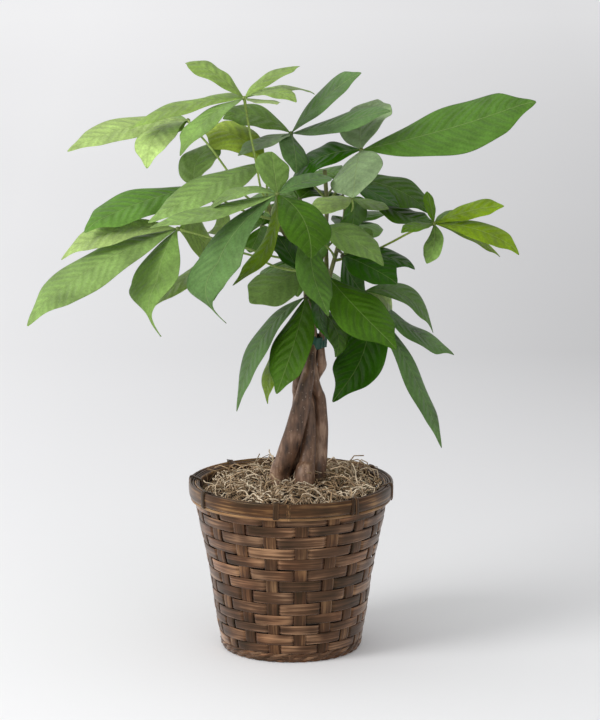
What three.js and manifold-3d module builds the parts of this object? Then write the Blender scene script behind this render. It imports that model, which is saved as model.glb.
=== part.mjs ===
// A braided money tree in a woven basket: the basket, grow pot, soil, moss, plaited stems and leaves.
// Millimetres, +Z up. The origin is the middle of the basket's base, where it rests. The front faces -Y.
import * as THREE from "three";
import { mergeVertices } from "three/addons/utils/BufferGeometryUtils.js";
import Module from "manifold-3d";

const wasm = await Module();
wasm.setup();

// Driving dimensions of the basket
const BASKET_HEIGHT = 158;
const RIM_RADIUS = 95;
const FOOT_RADIUS = 66;
const WALL = 4;
const HOOP_HEIGHT = 13.5;
const INNER_HOOP_THICK = 3;
const BASE_THICK = 4;
const FOOT_HEIGHT = 9;
const FOOT_BAND_WIDTH = 8;
const FOOT_TURN_IN = 4;
const FOOT_BULGE = 0.5;
const WALL_END_BELOW_RIM = 3;
const AROUND = 32;

// Driving dimensions of what the basket holds
const POT_TOP = 139;
const POT_WALL = 1.4;
const POT_CLEARANCE_LOW = 3;
const POT_CLEARANCE_TOP = 7.5;
const POT_HEEL_RADIUS = 3;
const POT_HEEL_HEIGHT = 8;
const SOIL_TOP = 130;
const MOSS_EDGE_TOP = 147;
const MOSS_EDGE_ROUND = 3;
const MOSS_SIDE_CLEARANCE = 1.5;
const MOSS_SHOULDER = [58, 152];
const MOSS_CROWN = [32, 156];

// Driving dimensions of the tree
const ROOT_DEPTH = 42;
const TIE_HEIGHT = 290;
const SHOOT_RADIUS = 2;
const STALK_RADIUS = 1.2;
const BLADE_THICK = 1.2;

// The clearance that touching pieces keep
const GAP = 0.3;

const WICKER = { color: 0x7a5b42, roughness: 0.5, metalness: 0 };
const WICKER_DARK = { color: 0x5b4230, roughness: 0.5, metalness: 0 };
const POT_PLASTIC = { color: 0x1b1c1b, roughness: 0.6, metalness: 0 };
const SOIL_MIX = { color: 0x2e221a, roughness: 0.95, metalness: 0 };
const MOSS_DRIED = { color: 0xa8916f, roughness: 0.9, metalness: 0 };
const BARK = { color: 0x7a675a, roughness: 0.85, metalness: 0 };
const TIE_TAPE = { color: 0x1f5f5a, roughness: 0.5, metalness: 0 };
const LEAF_GREEN = { color: 0x4f8a3c, roughness: 0.4, metalness: 0 };
const LEAF_YOUNG = { color: 0x8db04a, roughness: 0.4, metalness: 0 };

const tree = new THREE.Group();

function addPiece(name, geometry, finish) {
  const mesh = new THREE.Mesh(geometry, new THREE.MeshStandardMaterial(finish));
  mesh.name = name;
  tree.add(mesh);
  return mesh;
}

// A closed geometry as a solid that can be joined to and cut by others
function solidOf(geometry) {
  const bare = geometry.index ? geometry.toNonIndexed() : geometry.clone();
  bare.deleteAttribute("normal");
  bare.deleteAttribute("uv");
  const merged = mergeVertices(bare, 1e-4);
  return new wasm.Manifold(
    new wasm.Mesh({
      numProp: 3,
      vertProperties: merged.attributes.position.array,
      triVerts: new Uint32Array(merged.index.array),
    }),
  );
}

function geometryOf(solid) {
  const mesh = solid.getMesh();
  const geometry = new THREE.BufferGeometry();
  geometry.setAttribute("position", new THREE.BufferAttribute(mesh.vertProperties, 3));
  geometry.setIndex(new THREE.BufferAttribute(mesh.triVerts, 1));
  return geometry;
}

// Joins rings that hold the same number of points, first to last, and closes both ends
function loft(rings) {
  const sides = rings[0].length;
  const places = rings.flat().flatMap((point) => [point.x, point.y, point.z]);
  const faces = [];
  for (let r = 0; r + 1 < rings.length; r += 1) {
    for (let s = 0; s < sides; s += 1) {
      const a = r * sides + s;
      const b = r * sides + ((s + 1) % sides);
      faces.push(a, b, b + sides, a, b + sides, a + sides);
    }
  }
  const last = (rings.length - 1) * sides;
  for (let s = 1; s + 1 < sides; s += 1) {
    faces.push(0, s + 1, s);
    faces.push(last, last + s, last + s + 1);
  }
  const geometry = new THREE.BufferGeometry();
  geometry.setAttribute("position", new THREE.Float32BufferAttribute(places, 3));
  geometry.setIndex(faces);
  return geometry;
}

function turned(profile) {
  const points = profile.map(([radius, height]) => new THREE.Vector2(radius, height));
  const geometry = new THREE.LatheGeometry(points, AROUND);
  geometry.rotateX(Math.PI / 2);
  return geometry;
}

const at = ([x, y, z]) => new THREE.Vector3(x, y, z);
const mix = (a, b, share) => a + (b - a) * share;

// ---- Basket -------------------------------------------------------------------------------

// The wall's outer radius rises from the foot to the hoops, a little steeper in the middle
const WALL_OUTSIDE = [
  [FOOT_RADIUS + GAP, FOOT_HEIGHT + GAP],
  [69, 22],
  [72.8, 46],
  [75.8, 70],
  [80.2, 93],
  [85.2, 116],
  [88.6, 134],
  [90, 144],
  [90, BASKET_HEIGHT - WALL_END_BELOW_RIM],
];


function basketWall() {
  const inside = WALL_OUTSIDE.map(([radius, height]) => [radius - WALL, height]).reverse();
  return turned([...WALL_OUTSIDE, ...inside, WALL_OUTSIDE[0]]);
}

// The woven disc that closes the basket below, flat where it rests
function basketBase() {
  const radius = FOOT_RADIUS - FOOT_BAND_WIDTH;
  return turned([
    [0, 0],
    [radius, 0],
    [radius, BASE_THICK],
    [0, BASE_THICK],
  ]);
}

// The twined band round the foot, rounded in below
function footBand() {
  const inside = FOOT_RADIUS - FOOT_BAND_WIDTH + GAP;
  return turned([
    [inside, 0],
    [FOOT_RADIUS - FOOT_TURN_IN, 0],
    [FOOT_RADIUS - FOOT_TURN_IN / 4, FOOT_HEIGHT / 3],
    [FOOT_RADIUS + FOOT_BULGE, (2 * FOOT_HEIGHT) / 3],
    [FOOT_RADIUS, FOOT_HEIGHT],
    [inside, FOOT_HEIGHT],
    [inside, 0],
  ]);
}

// The flat hoops of the rim, one outside and one inside the top of the wall
const HOOP_LOW = BASKET_HEIGHT - HOOP_HEIGHT;
const WALL_TOP_OUTSIDE = WALL_OUTSIDE[WALL_OUTSIDE.length - 1][0];
const OUTER_HOOP_INSIDE = WALL_TOP_OUTSIDE + GAP;
const INNER_HOOP_OUTSIDE = WALL_TOP_OUTSIDE - WALL - GAP;
const INNER_HOOP_INSIDE = INNER_HOOP_OUTSIDE - INNER_HOOP_THICK;

function hoop(inside, outside) {
  return turned([
    [inside, HOOP_LOW],
    [outside, HOOP_LOW],
    [outside, BASKET_HEIGHT],
    [inside, BASKET_HEIGHT],
    [inside, HOOP_LOW],
  ]);
}

// The round cane laid under the outer hoop
const CANE_RADIUS = 1.5;
const CANE_SIDES = 6;
function rimCane() {
  const middle = WALL_TOP_OUTSIDE + CANE_RADIUS + GAP;
  const height = HOOP_LOW - GAP - CANE_RADIUS;
  const profile = [];
  for (let s = 0; s <= CANE_SIDES; s += 1) {
    const turn = (s / CANE_SIDES) * 2 * Math.PI;
    profile.push([middle + CANE_RADIUS * Math.cos(turn), height + CANE_RADIUS * Math.sin(turn)]);
  }
  return turned(profile);
}

// A flat strip that goes up outside the hoops, over the rim and down inside
const LASHING_WIDTH = 5.5;
const LASHING_THICK = 1;
const LASHING_END_UP = 0.5;
const LASHING_DEGREES = [-8, 38, 80, 126, 172, 218, 262, 302];
function rimLashing(degrees) {
  const outer = RIM_RADIUS + GAP;
  const inner = INNER_HOOP_INSIDE - 2 * GAP;
  const top = BASKET_HEIGHT + GAP;
  const low = HOOP_LOW + LASHING_END_UP;
  const outline = new THREE.Shape();
  outline.moveTo(outer, low);
  outline.lineTo(outer + LASHING_THICK, low);
  outline.lineTo(outer + LASHING_THICK, top + LASHING_THICK);
  outline.lineTo(inner - LASHING_THICK, top + LASHING_THICK);
  outline.lineTo(inner - LASHING_THICK, low);
  outline.lineTo(inner, low);
  outline.lineTo(inner, top);
  outline.lineTo(outer, top);
  outline.closePath();
  const geometry = new THREE.ExtrudeGeometry(outline, { depth: LASHING_WIDTH, bevelEnabled: false });
  geometry.translate(0, 0, -LASHING_WIDTH / 2);
  geometry.rotateX(Math.PI / 2);
  geometry.rotateZ(THREE.MathUtils.degToRad(degrees - 90));
  return geometry;
}

addPiece("basket_base", basketBase(), WICKER_DARK);
addPiece("basket_foot_band", footBand(), WICKER);
addPiece("basket_wall", basketWall(), WICKER);
addPiece("rim_hoop_outer", hoop(OUTER_HOOP_INSIDE, RIM_RADIUS), WICKER);
addPiece("rim_hoop_inner", hoop(INNER_HOOP_INSIDE, INNER_HOOP_OUTSIDE), WICKER_DARK);
addPiece("rim_cane", rimCane(), WICKER);
LASHING_DEGREES.forEach((degrees, i) => {
  addPiece(`rim_lashing_${i + 1}`, rimLashing(degrees), WICKER_DARK);
});

// ---- Stems --------------------------------------------------------------------------------

// The plait is given by level sections from the roots to the tie. A stem's place in it is a row for each
// of these heights, with the section's middle (x, y) and its radius.
const PLAIT_HEIGHTS = [SOIL_TOP - ROOT_DEPTH, 160, 178, 197, 215, 234, 243, 253, 265, 272, 281, TIE_HEIGHT];
const STEMS = [
  {
    name: "stem_left",
    plait: [
      [-14, -8, 8], [-11, -9, 9.7], [-6.5, -12.5, 9.4], [0, -14.5, 9.1], [5.2, -14.5, 8.6],
      [9.8, -13.7, 7.7], [12, -13.2, 7.1], [14, -12.6, 6.5], [16.6, -10.6, 5.4], [17.8, -9, 4.9],
      [19.4, -7.4, 3.9], [21.3, -5.3, 3.1],
    ],
    shoot: [[20, -8, 306], [14, -14, 344], [0, -24, 384], [-16, -30, 412], [-23, -30, 430]],
  },
  {
    name: "stem_front",
    plait: [
      [12, -21, 8], [12.5, -19, 9.7], [14.7, -13, 7.5], [16.5, -7, 6.3], [17, -4, 5.7], [16.5, -1.5, 4.9],
      [15, 3, 4.4], [13.5, 7.5, 4.1], [18.5, 9.2, 3.8], [23.5, 8, 3.6], [25.5, 5.9, 3.3],
      [27.5, 3.3, 3.1],
    ],
    shoot: [[30, 5, 306], [33, 9, 338], [32, 20, 384], [33, 22, 412], [31, 20, 446]],
  },
  {
    name: "stem_right",
    plait: [
      [27, 0, 6.4], [25.2, 1, 7.3], [26.2, 3, 7.2], [27.3, 6, 6.8], [27.3, 4.5, 6.5], [26.8, 2.5, 5.6],
      [24.5, -0.5, 5], [22, -3, 4.6], [20.6, -1.4, 4], [20, 0.5, 3.5], [16.5, -0.5, 3.3],
      [17.4, 0, 3.1],
    ],
    shoot: [[15, 3, 308], [13, 10, 340], [10, 20, 368], [6, 24, 390]],
  },
  {
    name: "stem_back_left",
    plait: [
      [-5, 13, 7], [-2.5, 10.5, 8], [0.5, 5.5, 7.4], [3, 4, 6.6], [4.5, 3, 5.8], [6.5, 3, 5.2],
      [5.5, 1.5, 4.8], [6.5, -1, 4.7], [11, 3, 4.2], [13, 6.5, 3.7], [17, 6.8, 3.5],
      [21.3, 5.3, 3.1],
    ],
    shoot: [[21, 9, 306], [24, 16, 338], [30, 34, 376], [26, 42, 408]],
  },
  {
    name: "stem_back",
    plait: [
      [14, 18, 7], [14, 14.5, 8], [14.5, 12.5, 7.2], [15, 12, 6.4], [15, 11.5, 5.6], [19, 10.5, 4.8],
      [21.5, 11, 4.4], [22.5, 7.5, 4.1], [28.3, 2.6, 4.3], [28, -1.5, 4.1], [27.8, -2.4, 3.3],
      [27.5, -3.3, 3.1],
    ],
    shoot: [[30, -7, 306], [33, -13, 342], [42, -18, 378], [48, -19, 402], [50, -16, 418]],
  },
];
const STEM_SIDES = 10;
const SHOOT_STEPS = 7;

function levelRing(middle, radius) {
  const ring = [];
  for (let s = 0; s < STEM_SIDES; s += 1) {
    const turn = (s / STEM_SIDES) * 2 * Math.PI;
    const across = new THREE.Vector3(Math.cos(turn), Math.sin(turn), 0);
    ring.push(middle.clone().addScaledVector(across, radius));
  }
  return ring;
}

// The middles and radii of a stem's sections, from its root in the soil through the plait to the tip of
// its green shoot
function stemSections({ plait, shoot }) {
  const sections = plait.map(([x, y, radius], i) => ({ middle: at([x, y, PLAIT_HEIGHTS[i]]), radius }));
  const tie = sections[sections.length - 1];
  const line = new THREE.CatmullRomCurve3([tie.middle, ...shoot.map(at)]);
  for (let i = 1; i <= SHOOT_STEPS; i += 1) {
    const radius = mix(tie.radius, SHOOT_RADIUS, Math.min(1, (2 * i) / SHOOT_STEPS));
    sections.push({ middle: line.getPointAt(i / SHOOT_STEPS), radius });
  }
  return sections;
}

function stemBar(stem, extra) {
  return loft(stemSections(stem).map(({ middle, radius }) => levelRing(middle, radius + extra)));
}

// The point inside a stem at a height, where a leaf's stalk grows out of it
function stemMiddleAt(name, height) {
  const sections = stemSections(STEMS.find((stem) => stem.name === name));
  const above = sections.findIndex(({ middle }) => middle.z > height);
  const low = sections[above - 1].middle;
  const high = sections[above].middle;
  return low.clone().lerp(high, (height - low.z) / (high.z - low.z));
}

const stemsWithGap = new Map(STEMS.map((stem) => [stem.name, solidOf(stemBar(stem, GAP))]));
STEMS.forEach((stem) => addPiece(stem.name, stemBar(stem, 0), BARK));
const roomForStems = [...stemsWithGap.values()].reduce((all, solid) => all.add(solid));

// The tape wound round the five stems at the top of the plait
const TIE_RADIUS = 9.8;
const TIE_TALL = 12;
const TIE_MIDDLE = [22.8, 0, TIE_HEIGHT];
const TIE_SIDES = 20;
function braidTie() {
  const geometry = new THREE.CylinderGeometry(TIE_RADIUS, TIE_RADIUS, TIE_TALL, TIE_SIDES);
  geometry.rotateX(Math.PI / 2);
  geometry.translate(...TIE_MIDDLE);
  return solidOf(geometry).subtract(roomForStems);
}
addPiece("braid_tie", geometryOf(braidTie()), TIE_TAPE);

// ---- Pot, soil and moss -------------------------------------------------------------------

const POT_FLOOR = BASE_THICK + GAP;
const POT_HEEL = POT_FLOOR + POT_HEEL_HEIGHT;
const POT_RADIUS_LOW = FOOT_RADIUS - WALL - POT_CLEARANCE_LOW;
const POT_RADIUS_TOP = WALL_TOP_OUTSIDE - WALL - POT_CLEARANCE_TOP;
const POT_RADIUS_FLOOR = POT_RADIUS_LOW - POT_HEEL_RADIUS;

function growPot() {
  return turned([
    [0, POT_FLOOR],
    [POT_RADIUS_FLOOR, POT_FLOOR],
    [POT_RADIUS_LOW, POT_HEEL],
    [POT_RADIUS_TOP, POT_TOP],
    [POT_RADIUS_TOP - POT_WALL, POT_TOP],
    [POT_RADIUS_LOW - POT_WALL, POT_HEEL],
    [POT_RADIUS_FLOOR - POT_WALL, POT_FLOOR + POT_WALL],
    [0, POT_FLOOR + POT_WALL],
  ]);
}

function soilPlug() {
  const low = POT_FLOOR + POT_WALL + GAP;
  const inset = POT_WALL + GAP;
  const share = (SOIL_TOP - POT_HEEL) / (POT_TOP - POT_HEEL);
  return turned([
    [0, low],
    [POT_RADIUS_FLOOR - inset, low],
    [POT_RADIUS_LOW - inset, POT_HEEL],
    [mix(POT_RADIUS_LOW, POT_RADIUS_TOP, share) - inset, SOIL_TOP],
    [0, SOIL_TOP],
  ]);
}

// Dried moss heaped over the soil and the pot's edge, highest round the stems
function mossMound() {
  const edge = INNER_HOOP_INSIDE - MOSS_SIDE_CLEARANCE;
  const inPot = POT_RADIUS_TOP - POT_WALL - GAP;
  const low = SOIL_TOP + GAP;
  const overPot = POT_TOP + GAP;
  return turned([
    [0, low],
    [inPot - MOSS_SIDE_CLEARANCE, low],
    [inPot, overPot],
    [edge, overPot],
    [edge, MOSS_EDGE_TOP - MOSS_EDGE_ROUND],
    [edge - MOSS_EDGE_ROUND, MOSS_EDGE_TOP],
    MOSS_SHOULDER,
    MOSS_CROWN,
    [0, MOSS_CROWN[1]],
  ]);
}

addPiece("grow_pot", growPot(), POT_PLASTIC);
addPiece("soil", geometryOf(solidOf(soilPlug()).subtract(roomForStems)), SOIL_MIX);
addPiece("moss", geometryOf(solidOf(mossMound()).subtract(roomForStems)), MOSS_DRIED);

// ---- Leaves -------------------------------------------------------------------------------

// Each leaf is a hand of leaflets on one stalk. hub is where its leaflets meet, and stalk holds the points
// that the stalk passes on its way to the stem named in on, which it joins at the height given by joins.
// A leaflet has the middle and the tip of its midrib, measured from the hub, its width, and roll, the
// degrees that its blade turns about the midrib.
const LEAVES = [
  {
    name: "leaf_top_left",
    on: "stem_left",
    young: true,
    hub: [-42, -30, 520],
    stalk: [[-38, -40, 497], [-31, -46, 462], [-27, -44, 440]],
    joins: 421,
    leaflets: [
      { middle: [-28, 8, 22], tip: [-54, 24, 31], width: 32, roll: 10 },
      { middle: [22, 16, 16], tip: [50, 38, 25], width: 26, roll: 0 },
      { middle: [34, 42, 3], tip: [64, 70, -6], width: 26, roll: -5 },
      { middle: [25, -20, 9], tip: [47, -42, 3], width: 24, roll: -10 },
      { middle: [17, -32, 2], tip: [30, -58, 4], width: 22, roll: 0 },
      { middle: [-32, -32, -13], tip: [-56, -58, -40], width: 36, roll: -5 },
      { middle: [-53, -4, -6], tip: [-105, -10, -26], width: 36, roll: 10 },
      { middle: [-19, 30, -1], tip: [-37, 56, -8], width: 24, roll: 5 },
    ],
  },
  {
    name: "leaf_upper_left",
    on: "stem_left",
    hub: [-94, 6, 494],
    stalk: [[-87, -10, 488], [-73, -28, 475], [-57, -20, 451], [-44, -24, 432]],
    joins: 413,
    leaflets: [
      { middle: [-52, -14, -4], tip: [-109, -38, -21], width: 44, roll: 15 },
      { middle: [-26, -36, -6], tip: [-36, -58, -33], width: 40, roll: -5 },
      { middle: [-25, 24, -8], tip: [-48, 42, -27], width: 30, roll: 30 },
      { middle: [-14, -18, -8], tip: [-25, -36, -17], width: 24, roll: -15 },
    ],
  },
  {
    name: "leaf_left",
    on: "stem_left",
    hub: [-85, -26, 438],
    stalk: [[-62, -34, 427], [-39, -34, 416]],
    joins: 408,
    leaflets: [
      { middle: [-1, 16, 20], tip: [20, 40, 37], width: 42, roll: 10 },
      { middle: [-51, -20, -11], tip: [-102, -48, -29], width: 54, roll: 15 },
      { middle: [23, -14, -24], tip: [9, -24, -38], width: 30, roll: 45 },
    ],
  },
  {
    name: "leaf_top_middle",
    on: "stem_front",
    hub: [0, 12, 481],
    stalk: [[8, 18, 455], [19, 22, 434]],
    joins: 418,
    leaflets: [
      { middle: [-31, 0, 16], tip: [-62, -6, 16], width: 38, roll: 25 },
      { middle: [-21, -26, -2], tip: [-48, -44, -13], width: 32, roll: 0 },
      { middle: [30, -8, 33], tip: [64, -18, 60], width: 40, roll: -30 },
      { middle: [47, -38, 17], tip: [90, -62, 32], width: 40, roll: -25 },
      { middle: [3, -28, -10], tip: [5, -44, -28], width: 34, roll: 35 },
    ],
  },
  {
    name: "leaf_upper_right",
    on: "stem_front",
    hub: [64, -26, 472],
    stalk: [[56, -12, 453], [45, 6, 433]],
    joins: 414,
    leaflets: [
      { middle: [82, -10, 22], tip: [157, -18, 50], width: 66, roll: -35 },
      { middle: [2, 32, 21], tip: [16, 58, 39], width: 54, roll: 20 },
      { middle: [-5, -38, -12], tip: [-8, -66, -32], width: 52, roll: -25 },
      { middle: [-35, 6, -7], tip: [-63, 20, -27], width: 46, roll: 25 },
    ],
  },
  {
    name: "leaf_front",
    on: "stem_left",
    hub: [-12, -92, 443],
    stalk: [[-14, -76, 432], [-17, -48, 417]],
    joins: 402,
    leaflets: [
      { middle: [-3, 8, 19], tip: [-5, 20, 36], width: 38, roll: -25 },
      { middle: [26, 18, 9], tip: [49, 42, 9], width: 30, roll: -10 },
      { middle: [-33, 2, 2], tip: [-64, 0, -16], width: 28, roll: 10 },
      { middle: [-50, -32, -50], tip: [-49, -46, -107], width: 54, roll: 0 },
      { middle: [23, -26, -18], tip: [30, -42, -50], width: 52, roll: 0 },
      { middle: [-8, 6, -46], tip: [-40, -12, -80], width: 34, roll: 5 },
      { middle: [-55, -12, -14], tip: [-113, -30, -23], width: 34, roll: 10 },
    ],
  },
  {
    name: "leaf_inner_left",
    on: "stem_left",
    hub: [-23, -14, 459],
    stalk: [[-22, -20, 443]],
    joins: 425,
    leaflets: [
      { middle: [-46, -40, -14], tip: [-105, -74, -42], width: 48, roll: 10 },
      { middle: [-27, 16, 21], tip: [-57, 28, 24], width: 50, roll: 20 },
    ],
  },
  {
    name: "leaf_lower_left",
    on: "stem_left",
    hub: [-102, -62, 406],
    stalk: [[-75, -58, 398], [-38, -44, 384], [-16, -32, 375]],
    joins: 370,
    leaflets: [
      { middle: [-54, -2, -1], tip: [-105, -8, -23], width: 40, roll: 20 },
      { middle: [-72, -30, -28], tip: [-134, -62, -71], width: 56, roll: 15 },
      { middle: [-17, -32, -37], tip: [-17, -54, -87], width: 58, roll: -25 },
      { middle: [20, 34, -16], tip: [33, 60, -42], width: 44, roll: -70 },
      { middle: [-49, 22, -14], tip: [-85, 26, -34], width: 30, roll: 20 },
    ],
  },
  {
    name: "leaf_young_right",
    on: "stem_back",
    young: true,
    hub: [130, -30, 405],
    stalk: [[110, -32, 398], [90, -20, 385], [72, -5, 374]],
    joins: 368,
    leaflets: [
      { middle: [-3, 4, 15], tip: [-6, 10, 29], width: 16, roll: -20 },
      { middle: [32, -8, 13], tip: [63, -14, 19], width: 26, roll: -30 },
      { middle: [41, -20, -3], tip: [77, -32, -20], width: 30, roll: -20 },
      { middle: [33, 8, -13], tip: [61, 16, -33], width: 22, roll: -20 },
      { middle: [0, -12, -17], tip: [-7, -20, -33], width: 24, roll: -25 },
      { middle: [-15, -16, 1], tip: [-30, -28, -2], width: 18, roll: 15 },
      { middle: [14, 20, 6], tip: [25, 36, 6], width: 18, roll: 5 },
    ],
  },
  {
    name: "leaf_inner_right",
    on: "stem_front",
    hub: [56, 14, 438],
    stalk: [[47, 17, 422]],
    joins: 407,
    leaflets: [
      { middle: [40, 0, -9], tip: [70, -10, -28], width: 48, roll: -20 },
      { middle: [40, -12, -28], tip: [74, -24, -33], width: 40, roll: -10 },
      { middle: [20, -20, -9], tip: [43, -28, -19], width: 36, roll: -5 },
    ],
  },
  {
    name: "leaf_small_middle",
    on: "stem_back",
    hub: [55, -30, 429],
    stalk: [[56, -26, 419]],
    joins: 405,
    leaflets: [
      { middle: [-16, -14, -2], tip: [-35, -28, -10], width: 34, roll: 10 },
      { middle: [17, -4, -5], tip: [34, -8, -8], width: 26, roll: -10 },
      { middle: [2, 8, -15], tip: [0, 12, -34], width: 38, roll: 50 },
    ],
  },
  {
    name: "leaf_front_right",
    on: "stem_back",
    hub: [19, -66, 407],
    stalk: [[25, -54, 396], [36, -34, 381]],
    joins: 371,
    leaflets: [
      { middle: [31, -12, -5], tip: [64, -24, -27], width: 46, roll: -15 },
      { middle: [0, -26, -33], tip: [15, -48, -68], width: 44, roll: 30 },
    ],
  },
  {
    name: "leaf_low_middle_left",
    on: "stem_left",
    hub: [7, -48, 364],
    stalk: [[10, -34, 352]],
    joins: 339,
    leaflets: [
      { middle: [-21, -18, -9], tip: [-44, -32, -22], width: 48, roll: 20 },
      { middle: [-10, 8, 17], tip: [-21, 18, 32], width: 40, roll: -5 },
    ],
  },
  {
    name: "leaf_low_front",
    on: "stem_left",
    hub: [14, -52, 342],
    stalk: [[16, -36, 332]],
    joins: 322,
    leaflets: [
      { middle: [-11, -24, -39], tip: [-27, -42, -81], width: 52, roll: -15 },
      { middle: [-41, 0, -41], tip: [-63, -6, -103], width: 40, roll: 15 },
      { middle: [-29, 8, -63], tip: [-36, 8, -99], width: 30, roll: 35 },
      { middle: [26, -14, -27], tip: [26, -24, -51], width: 34, roll: 10 },
    ],
  },
  {
    name: "leaf_low_front_right",
    on: "stem_back",
    hub: [33, -58, 362],
    stalk: [[36, -40, 354]],
    joins: 346,
    leaflets: [
      { middle: [26, -26, -25], tip: [62, -50, -56], width: 60, roll: -10 },
      { middle: [-8, -26, -28], tip: [3, -42, -50], width: 30, roll: 60 },
    ],
  },
  {
    name: "leaf_right",
    on: "stem_back",
    hub: [47, -40, 377],
    stalk: [[47, -30, 377]],
    joins: 379,
    leaflets: [
      { middle: [23, -14, -7], tip: [49, -26, -20], width: 50, roll: -15 },
      { middle: [36, 10, -2], tip: [66, 6, -12], width: 38, roll: -15 },
      { middle: [17, 16, 12], tip: [28, 20, 18], width: 28, roll: -15 },
      { middle: [7, 8, -20], tip: [21, 12, -39], width: 40, roll: -55 },
    ],
  },
  {
    name: "leaf_low_right",
    on: "stem_front",
    hub: [67, 10, 334],
    stalk: [[56, 12, 329]],
    joins: 326,
    leaflets: [
      { middle: [1, -32, -46], tip: [-29, -50, -91], width: 58, roll: -10 },
      { middle: [44, -8, -74], tip: [73, -16, -143], width: 38, roll: -10 },
      { middle: [45, 10, -39], tip: [85, 12, -59], width: 42, roll: -15 },
      { middle: [41, 14, -8], tip: [64, 14, -40], width: 44, roll: -20 },
      { middle: [21, 16, -12], tip: [25, 20, -29], width: 26, roll: -50 },
    ],
  },
  {
    name: "leaf_low_inner_left",
    on: "stem_left",
    hub: [-53, -40, 382],
    stalk: [[-33, -32, 375], [-15, -22, 364]],
    joins: 358,
    leaflets: [
      { middle: [-37, -20, -18], tip: [-75, -34, -47], width: 36, roll: 0 },
      { middle: [-10, -18, -21], tip: [-17, -34, -38], width: 30, roll: -35 },
    ],
  },
  {
    name: "leaf_back_top",
    on: "stem_back_left",
    hub: [8, 72, 409],
    stalk: [[16, 56, 402], [23, 42, 393]],
    joins: 384,
    leaflets: [
      { middle: [-30, 24, 1], tip: [-60, 46, -16], width: 46, roll: 15 },
      { middle: [-9, 46, 3], tip: [-15, 90, -14], width: 50, roll: 5 },
      { middle: [17, 40, 2], tip: [36, 78, -16], width: 48, roll: -10 },
      { middle: [-19, -10, -4], tip: [-35, -12, -15], width: 34, roll: 0 },
    ],
  },
  {
    name: "leaf_back_right",
    on: "stem_back_left",
    hub: [53, 62, 386],
    stalk: [[45, 50, 382], [38, 38, 375]],
    joins: 368,
    leaflets: [
      { middle: [24, 18, 8], tip: [51, 36, 6], width: 44, roll: 5 },
      { middle: [8, 46, -5], tip: [9, 90, -34], width: 50, roll: -10 },
      { middle: [-13, 42, -10], tip: [-29, 80, -38], width: 46, roll: 10 },
      { middle: [13, 14, -16], tip: [17, 22, -40], width: 40, roll: -25 },
    ],
  },
  {
    name: "leaf_back_low",
    on: "stem_right",
    hub: [8, 62, 352],
    stalk: [[12, 46, 349], [14, 32, 344]],
    joins: 339,
    leaflets: [
      { middle: [-17, 22, -4], tip: [-32, 42, -25], width: 44, roll: 15 },
      { middle: [-2, 42, -12], tip: [-2, 78, -48], width: 48, roll: 5 },
      { middle: [19, 30, -12], tip: [38, 56, -40], width: 46, roll: -15 },
    ],
  },
  {
    name: "leaf_back_left",
    on: "stem_right",
    hub: [-27, 60, 386],
    stalk: [[-15, 48, 385], [-3, 34, 384]],
    joins: 384,
    leaflets: [
      { middle: [-21, 16, -1], tip: [-38, 32, -19], width: 44, roll: 10 },
      { middle: [-12, 34, -1], tip: [-18, 70, -23], width: 48, roll: 5 },
      { middle: [7, 32, 6], tip: [15, 72, -17], width: 46, roll: -5 },
      { middle: [-4, -10, -8], tip: [-11, -20, -21], width: 38, roll: -20 },
    ],
  },
  {
    name: "leaf_back_upper",
    on: "stem_back_left",
    hub: [44, 62, 429],
    stalk: [[36, 52, 420]],
    joins: 406,
    leaflets: [
      { middle: [21, 18, 4], tip: [40, 38, -10], width: 44, roll: -10 },
      { middle: [6, 34, 5], tip: [10, 76, -15], width: 48, roll: 5 },
      { middle: [-17, 30, 4], tip: [-32, 62, -13], width: 46, roll: 10 },
    ],
  },
  {
    name: "leaf_inner_middle",
    on: "stem_front",
    hub: [36, 4, 387],
    stalk: [[34, 12, 382]],
    joins: 377,
    leaflets: [
      { middle: [19, 10, 0], tip: [38, 16, -10], width: 38, roll: -10 },
      { middle: [-15, -8, -10], tip: [-28, -12, -24], width: 38, roll: 10 },
      { middle: [18, 4, -16], tip: [31, 4, -38], width: 36, roll: -10 },
    ],
  },
];

// How wide a blade is along its midrib, as a share of its full width: drawn in at the base, full a little
// past the middle and pointed at the tip
const BLADE_STATIONS = [0.012, 0.16, 0.38, 0.64, 0.86, 0.995];
const LEAST_HALF_WIDTH = 0.9;
const TIP_THINNING = 0.6;
const BLADE_BASE_POWER = 1;
const BLADE_TIP_POWER = 0.8;
function bladeShare(along) {
  const widest = BLADE_BASE_POWER / (BLADE_BASE_POWER + BLADE_TIP_POWER);
  const peak = widest ** BLADE_BASE_POWER * (1 - widest) ** BLADE_TIP_POWER;
  return (along ** BLADE_BASE_POWER * (1 - along) ** BLADE_TIP_POWER) / peak;
}

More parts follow.
